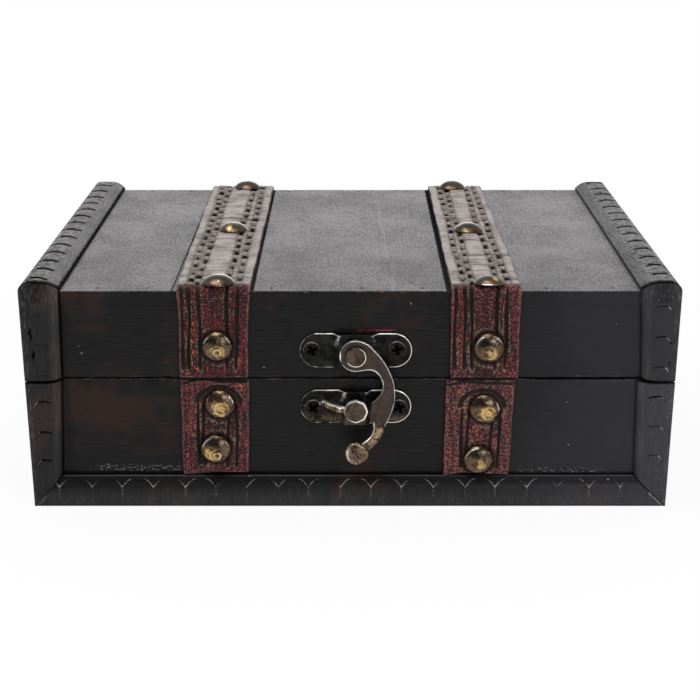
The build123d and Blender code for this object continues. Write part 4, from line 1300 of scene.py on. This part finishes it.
# A plate pressed from sheet, with a raised bridge, from its back's middle round to its front's.
def makePlate(name, body, bridgeTop, bridgeFoot):
    low, high = nodeBox(name)
    centreX, _, middleZ = (low + high) / 2
    radius = latch["plateHigh"] / 2
    straight = latch["plateLong"] / 2 - radius
    ramp = np.linspace(bridgeTop - 0.6, bridgeFoot + 0.6, 7)
    ramps = np.sort(np.concatenate([np.linspace(-straight, straight, 21), ramp, -ramp]))[::-1]
    capAngles = (np.arange(20) + 0.5) / 20 * math.pi / 2
    spine = np.concatenate([np.full(20, straight), ramps, np.full(20, -straight)])
    turns = np.concatenate([capAngles, np.full(len(ramps), math.pi / 2), math.pi - capAngles[::-1]])
    spine = np.concatenate([spine, spine[::-1]])
    turns = np.concatenate([turns, -turns[::-1]])
    bevel, thick = latch["bevel"], latch["plateThick"]
    steps = [(radius - 0.01, 0.0), (radius * 0.5, 0.0), (0.0, 0.0), (0.0, thick - bevel),
             (bevel * 0.15, thick - bevel * 0.55), (bevel * 0.5, thick - bevel * 0.18), (bevel, thick),
             (bevel * 1.8, thick), (radius * 0.35, thick), (radius * 0.65, thick),
             (radius - 0.01, thick)]
    rings, wearAndGlint, gilt = [], [], []
    for inset, out in steps:
        x = spine + (radius - inset) * np.cos(turns)
        z = (radius - inset) * np.sin(turns)
        raised = latch["bridgeRise"] * (1 - ease(np.abs(x), bridgeTop, bridgeFoot))
        rings.append(np.stack([centreX + x, frontY - out - raised, middleZ + z], -1))
        # Painted highlights: the bevel's edge, brighter where it faces up and right, and glints high on
        # the bridge's ramps.
        lit = 0.72 + 0.24 * np.tanh((x + z * 0.8 + 4) / 7) + 0.08 * np.sin(x * 1.3)
        edge = lit * (1 - 0.85 * raised / latch["bridgeRise"]) if 0 < inset < bevel * 1.2 else 0 * x
        offRamp = np.abs(x) - (bridgeTop + bridgeFoot) / 2 + 0.25 * (z - 3)
        lit = bell(offRamp, 1.3) * np.where(x < 0, 0.62, 0.54) * ease(z, -2, 4)
        wearAndGlint.append(edge + lit * (out >= thick))
        gilt.append(0.2 * ease(-z, 1, 4) * (body == "base"))
    marks = {"wearAndGlint": np.clip(np.array(wearAndGlint), 0, 1), "gilt": np.array(gilt)}
    makePiece(name, "pressed", [skin(np.array(rings), marks, folded=True)], sheetFinish, body,
              35)


# Low screw heads with a cross cut in each.
def makeScrews(name, body, centres):
    front = proudness(name)
    spoke = np.linspace(0, 2 * math.pi, 72, endpoint=False)
    share = np.array([1.0, 1.0, 0.97, *np.linspace(0.93, 0.01, 22)])[:, None]
    skins = []
    for x, z, turn in centres:
        u = latch["screw"] * share * np.cos(spoke)
        v = latch["screw"] * share * np.sin(spoke)
        long = u * math.cos(turn) + v * math.sin(turn)
        short = v * math.cos(turn) - u * math.sin(turn)
        arms = np.minimum(np.maximum(np.abs(long) / 1.9, np.abs(short) / 0.55),
                          np.maximum(np.abs(short) / 1.9, np.abs(long) / 0.55))
        cross = 1 - ease(arms, 0.75, 1.2)
        out = front - 0.02 - 0.25 * share**4 - 0.45 * cross
        out[0] = latch["plateThick"] - 0.2
        out[1] = front - 0.45
        # Painted highlight on the rim, brighter on one side.
        lit = 0.55 + 0.25 * np.cos(spoke - 1.2 - turn)
        marks = {"wearAndGlint": lit * ((share > 0.93) & (share < 1.01)), "pit": cross}
        skins.append(skin(np.stack([x + u, frontY - out, z + v], -1), marks))
    makePiece(name, "pressed", skins, sheetFinish, body, 35)


# A round head with a bevelled rim, from its back to its front. The rim carries a painted
# highlight, which lit makes brighter on one side.
def roundHead(x, z, back, front, radius, bevel, sides=48, shape=None, lit=None):
    spoke = np.linspace(0, 2 * math.pi, sides, endpoint=False)
    reach = shape(spoke) if shape else np.ones(sides)
    steps = [(0.05, back, 0), (1 - bevel / radius * 0.3, back, 0), (1.0, back + bevel * 0.4, 0.3),
             (1.0, front - bevel, 1), (1 - bevel / radius * 0.3, front - bevel * 0.3, 1),
             (1 - bevel / radius, front, 1), (1 - 1.7 * bevel / radius, front + 0.02, 0),
             (0.5, front + 0.05, 0), (0.05, front + 0.06, 0)]
    rings = [np.stack([x + radius * share * reach * np.cos(spoke), 0 * spoke + frontY - out,
                       z + radius * share * reach * np.sin(spoke)], -1) for share, out, _ in steps]
    wearAndGlint = np.array([[step[2]] * sides for step in steps], float)
    if lit:
        wearAndGlint = wearAndGlint * np.clip(lit[1] + lit[2] * np.cos(spoke - lit[0]), 0, 1)
    return skin(np.array(rings), {"wearAndGlint": wearAndGlint, "gilt": np.full_like(wearAndGlint, 0.17)})


# A bar that follows a line of points, with an ellipse or a soft rectangle for its section.
def bar(points, wide, deep, square=2.0, sides=20, across=(1, 0, -0.5)):
    ahead = np.gradient(points, axis=0)
    ahead /= np.linalg.norm(ahead, axis=1)[:, None]
    beside = np.cross(np.cross(ahead, np.array(across, float)), ahead)
    beside /= np.linalg.norm(beside, axis=1)[:, None]
    out = np.cross(ahead, beside)
    spoke = np.linspace(0, 2 * math.pi, sides, endpoint=False)
    c, s = np.cos(spoke), np.sin(spoke)
    u = np.sign(c) * np.abs(c) ** (2 / square)
    v = np.sign(s) * np.abs(s) ** (2 / square)
    return (points[:, None] + beside[:, None] * (u * wide[:, None] / 2)[..., None]
            + out[:, None] * (v * deep[:, None] / 2)[..., None])


# The hook's eye and bowed arm: two edges, and a bevelled section between them.
def hookArm():
    outerEdge = [(0.2, 5.6), (2.4, 5.15), (4.6, 3.9), (7.1, 1.3), (9.2, -1.3), (10.9, -4.1),
                 (12.2, -6.9), (13.2, -10.1), (13.6, -13.3), (13.5, -16.5), (12.8, -19.7),
                 (11.6, -22.9), (10.2, -26.0)]
    innerEdge = [(0.2, -5.6), (2.0, -5.35), (4.0, -5.1), (5.8, -5.35), (7.6, -6.6), (8.8, -8.7),
                 (9.3, -11.2), (8.8, -13.6), (7.3, -15.7), (5.3, -17.5), (4.8, -19.6),
                 (4.8, -22.6), (6.0, -25.2)]
    eye = latch["eyeRadius"]
    angles = np.linspace(0.06, math.pi / 2, 14, endpoint=False)
    eyeTop = np.stack([-eye * np.cos(angles), eye * np.sin(angles)], -1)
    outer = np.vstack([eyeTop, smoothLine(outerEdge, 8)])
    inner = np.vstack([eyeTop * (1, -1), smoothLine(innerEdge, 8)])
    beside = outer - inner
    width = np.linalg.norm(beside, axis=1)[:, None]
    beside = beside / width
    thick = latch["armThick"]
    bevel = np.minimum(latch["bevel"], width * 0.3)
    share = ease(np.arange(len(outer)), 22, 60)[:, None]
    inBevel = bevel + (np.minimum(bevel * 2.6, width * 0.35) - bevel) * share
    section = [(inner, 0, 0.35), (inner, 0, thick - inBevel * 0.55),
               (inner, inBevel * 0.35, thick - inBevel * 0.28), (inner, inBevel, thick),
               (inner, inBevel * 1.25, thick), (inner, width * 0.3, thick), (inner, width * 0.5, thick),
               (inner, width * 0.7, thick), (outer, -bevel * 1.25, thick), (outer, -bevel, thick),
               (outer, -bevel * 0.35, thick - bevel * 0.3), (outer, 0, thick - bevel),
               (outer, 0, 0.35), (outer, -bevel * 0.7, 0), (inner, bevel * 0.7, 0)]
    rows = [np.concatenate([edge + beside * inset, latch["armBack"] + out + 0 * width], 1)
            for edge, inset, out in section]
    rings = np.stack(rows, 1)
    place = np.stack([hookPivot[0] + rings[..., 0], frontY - rings[..., 2],
                      hookPivot[2] + rings[..., 1]], -1)
    # Painted highlights along the bevelled edges and round the eye's left side, dimmer lower down.
    edgeWearAndGlint = np.array([0, 0.9, 1, 0.8, 0, 0, 0, 0, 0, 0.9, 1, 1, 0.4, 0, 0])
    wearAndGlint = np.broadcast_to(edgeWearAndGlint, rings.shape[:2]).copy()
    lower = ease(-inner[:, 1], 17.0, 18.2)[:, None]
    wearAndGlint[:, :5] *= (1 - lower) * (1 - 0.35 * ease(-inner[:, 1], 5.5, 8.0)[:, None])
    wearAndGlint[:, 8:] *= 1 - 0.35 * ease(-outer[:, 1], 2.0, 9.0)[:, None]
    wearAndGlint[:4] = 0.8
    return skin(place, {"wearAndGlint": wearAndGlint})


# The tail that bends forward from the arm to the finger pad.
def hookTail():
    path = smoothLine([(8.0, -4.5, -24.6), (7.9, -5.4, -27.2), (6.5, -6.9, -29.8), (4.4, -8.0, -31.6),
                       (1.8, -8.5, -33.4)], 8) + (hookPivot[0], frontY, hookPivot[2])
    along = np.linspace(0, 1, len(path))
    rings = bar(path, 4.2 - 0.7 * ease(along, 0, 0.6), 2.0 + 0 * along, 2.6, 24)
    wearAndGlint = np.zeros((len(path), 24))
    # A painted highlight line along one side of the tail.
    wearAndGlint[:, 9:12] = 0.85
    return skin(rings, {"wearAndGlint": wearAndGlint, "gilt": 0 * wearAndGlint + 0.9 * ease(along, 0, 0.35)[:, None]})


# The dented finger pad, as rings from its back to its front.
def hookPad():
    padX, padZ = hookPivot[0] + 0.4, hookPivot[2] - latch["padDrop"]
    padBack = proudness("swing_hook") - latch["padDeep"]
    spoke = np.linspace(0, 2 * math.pi, 44, endpoint=False)
    steps = [(0.05, 0.0), (0.8, 0.0), (0.97, 0.35), (1.0, 0.9), (0.98, 1.5), (0.9, 2.0), (0.76, 2.3),
             (0.6, 2.45), (0.4, 2.6), (0.2, 2.75), (0.04, 2.8)]
    luck = np.random.default_rng(5)
    rings, wearAndGlint = [], []
    for share, out in steps:
        ring = latch["padRadius"] * share * (1 + 0.03 * np.sin(3 * spoke + 1))
        dents = luck.uniform(-0.09, 0.09, 44) if 0.15 < share < 0.95 and out > 1 else 0
        rings.append(np.stack([padX + ring * np.cos(spoke), frontY - padBack - out - dents + 0 * spoke,
                               padZ + ring * np.sin(spoke)], -1))
        # Painted highlight on the pad's rim, brightest on the left.
        rim = 0.75 if 0.7 < share and 1.0 < out < 2.35 else 0.1
        wearAndGlint.append(rim * (0.45 + 0.35 * bell(np.abs(spoke - math.pi), 0.9)))
    wearAndGlint = np.array(wearAndGlint)
    return skin(np.array(rings), {"wearAndGlint": wearAndGlint, "gilt": np.full_like(wearAndGlint, 0.9)})


def makeHook():
    makePiece("swing_hook", "cast", [hookArm(), hookTail(), hookPad()], bronzeFinish, "hook",
              35)


def makeRivet():
    x, _, z = hookPivot
    front = proudness("hook_rivet")
    # The rivet's rim highlight is painted, brighter towards the lower right.
    head = roundHead(x, z, front - 1.2, front - 0.06, latch["rivetRadius"], 0.3, lit=(-0.7, 0.62, 0.38))
    stem = roundHead(x, z, latch["stemBack"], front - 1.0, latch["stemRadius"], 0.1)
    makePiece("hook_rivet", "spun", [head, stem], bronzeFinish, "lid", 35)


# A reach that turns a round head into one with eight sides and soft corners.
def octagon(spoke):
    local = np.mod(spoke, math.pi / 4) - math.pi / 8
    return np.minimum(1 / np.cos(local), 1.045)


# The catch post: a stem, a bevelled head over it and a horn that points aside.
def makePost():
    x, z = hookPivot[0], hookPivot[2] - latch["postDrop"]
    front = proudness("catch_post")
    # The post head's rim highlight is painted, brighter on the right.
    head = roundHead(x, z, front - 2.0, front - 0.06, latch["postRadius"], 0.5, 64, octagon,
                     (0.2, 0.76, 0.24))
    stem = roundHead(x, z, latch["stemBack"], front - 1.8, latch["stemRadius"], 0.1)
    path = smoothLine([(0, -4.7, -0.5), (-4.6, -4.7, -0.5), (-8.2, -5.2, 0.8), (-11.4, -5.7, 2.4),
                       (-11.9, -5.8, 2.7)], 8) + (x, frontY, z)
    along = np.linspace(0, 1, len(path))
    size = (2.9 - 0.8 * along) * np.sqrt(np.clip(1 - ((along - 0.86) / 0.142).clip(0, 1) ** 2, 0.02, 1))
    rings = bar(path, size, size, across=(0, 0, 1))
    # Painted highlight along the horn's top and at its tip.
    wearAndGlint = np.maximum(0.9 * ease(rings[..., 2] - path[:, None, 2], 0.2, 0.9),
                      ease(along, 0.8, 0.95)[:, None])
    horn = skin(rings, {"wearAndGlint": wearAndGlint, "gilt": np.full_like(wearAndGlint, 0.8)})
    makePiece("catch_post", "cast", [head, stem, horn], bronzeFinish, "base", 35)


hookJoint = next(joint for joint in frame["joints"] if joint["name"] == "hook_swing")
hookPivot = np.array(hookJoint["pos_m"]) / mm
makePlate("hook_plate", "lid", 5.1, 8.2)
makePlate("catch_plate", "base", 3.2, 6.0)
makeScrews("hook_plate_screws", "lid", latch["hookScrews"])
makeScrews("catch_plate_screws", "base", latch["catchScrews"])
makeHook()
makeRivet()
makePost()
print("latch fitted")


studio = {
    "white": 0.86,
    "nearShow": 0.90,
    "near": 0.15,
    "far": 0.36,
    "front": 0.22,
    "back": 1.0,
    "reach": 4.0,
    "level": -0.0001,
}


def showRays(finish):
    path = finish.tree.nodes.new("ShaderNodeLightPath")
    seen = [Wire(finish, path.outputs[name]) for name in
            ("Is Camera Ray", "Is Glossy Ray", "Is Transmission Ray")]
    return finish.node("ShaderNodeMath", {"operation": "ADD", "use_clamp": True},
                       {0: seen[0] + seen[1], 1: seen[2]})


def layFloor():
    mesh = bpy.data.meshes.new("floor")
    reach, level = studio["reach"], studio["level"]
    mesh.from_pydata([(-reach, -reach, level), (reach, -reach, level), (reach, reach, level),
                      (-reach, reach, level)], [], [(0, 1, 2, 3)])
    floor = bpy.data.objects.new("floor", mesh)
    bpy.context.scene.collection.objects.link(floor)
    finish = newFinish("pale floor")
    finish.surface({"Base Color": (studio["white"],) * 3 + (1,), "Roughness": 0.9,
                    "Specular IOR Level": 0.0})
    shader = finish.tree.nodes["Principled BSDF"]
    glow = finish.node("ShaderNodeEmission", {}, {"Color": (1, 1, 1, 1), "Strength": 1.0})
    away = finish.node("ShaderNodeVectorMath", {"operation": "LENGTH"}, {0: finish.place()}, "Value")
    distant = finish.between(away, studio["near"], studio["far"])
    share = studio["nearShow"] + (1 - studio["nearShow"]) * distant
    mixed = finish.node("ShaderNodeMixShader", {}, {0: showRays(finish) * share,
                        1: Wire(finish, shader.outputs[0]), 2: glow})
    finish.tree.links.new(mixed.socket, finish.tree.nodes["Material Output"].inputs["Surface"])
    mesh.materials.append(finish.material)


def lightWorld():
    world = bpy.data.worlds.new("studio")
    bpy.context.scene.world = world
    finish = Finish(world)
    direction = finish.node("ShaderNodeTexCoord", {}, {}, "Generated")
    parts = finish.node("ShaderNodeSeparateXYZ", {}, {0: direction}, "Y")
    behind = finish.between(parts, -0.25, 0.45)
    room = finish.mix(behind, (studio["front"],) * 3, (studio["back"],) * 3)
    path = finish.node("ShaderNodeLightPath", {}, {}, "Is Camera Ray")
    colour = finish.mix(path, room, (1, 1, 1))
    background = world.node_tree.nodes["Background"]
    finish.tree.links.new(colour.socket, background.inputs["Color"])
    background.inputs["Strength"].default_value = 1.0


def hangLamp(name, place, aim, size, power):
    data = bpy.data.lights.new(name, "AREA")
    data.shape = "RECTANGLE"
    data.size, data.size_y = size
    data.energy = power
    lamp = bpy.data.objects.new(name, data)
    bpy.context.scene.collection.objects.link(lamp)
    lamp.location = place
    direction = np.array(aim) - np.array(place)
    flat = math.hypot(direction[0], direction[1])
    heading = math.atan2(direction[1], direction[0]) - math.pi / 2
    lamp.rotation_euler = (math.atan2(flat, -direction[2]), 0, heading)


layFloor()
lightWorld()
hangLamp("top softbox", (-0.15, -0.15, 0.95), (0, 0, 0.04), (0.7, 0.5), 5.5)
hangLamp("front softbox", (0.55, -0.95, 0.55), (0, 0, 0.04), (0.4, 0.4), 4)
bpy.context.scene.view_settings.view_transform = "Standard"
print("studio lit")
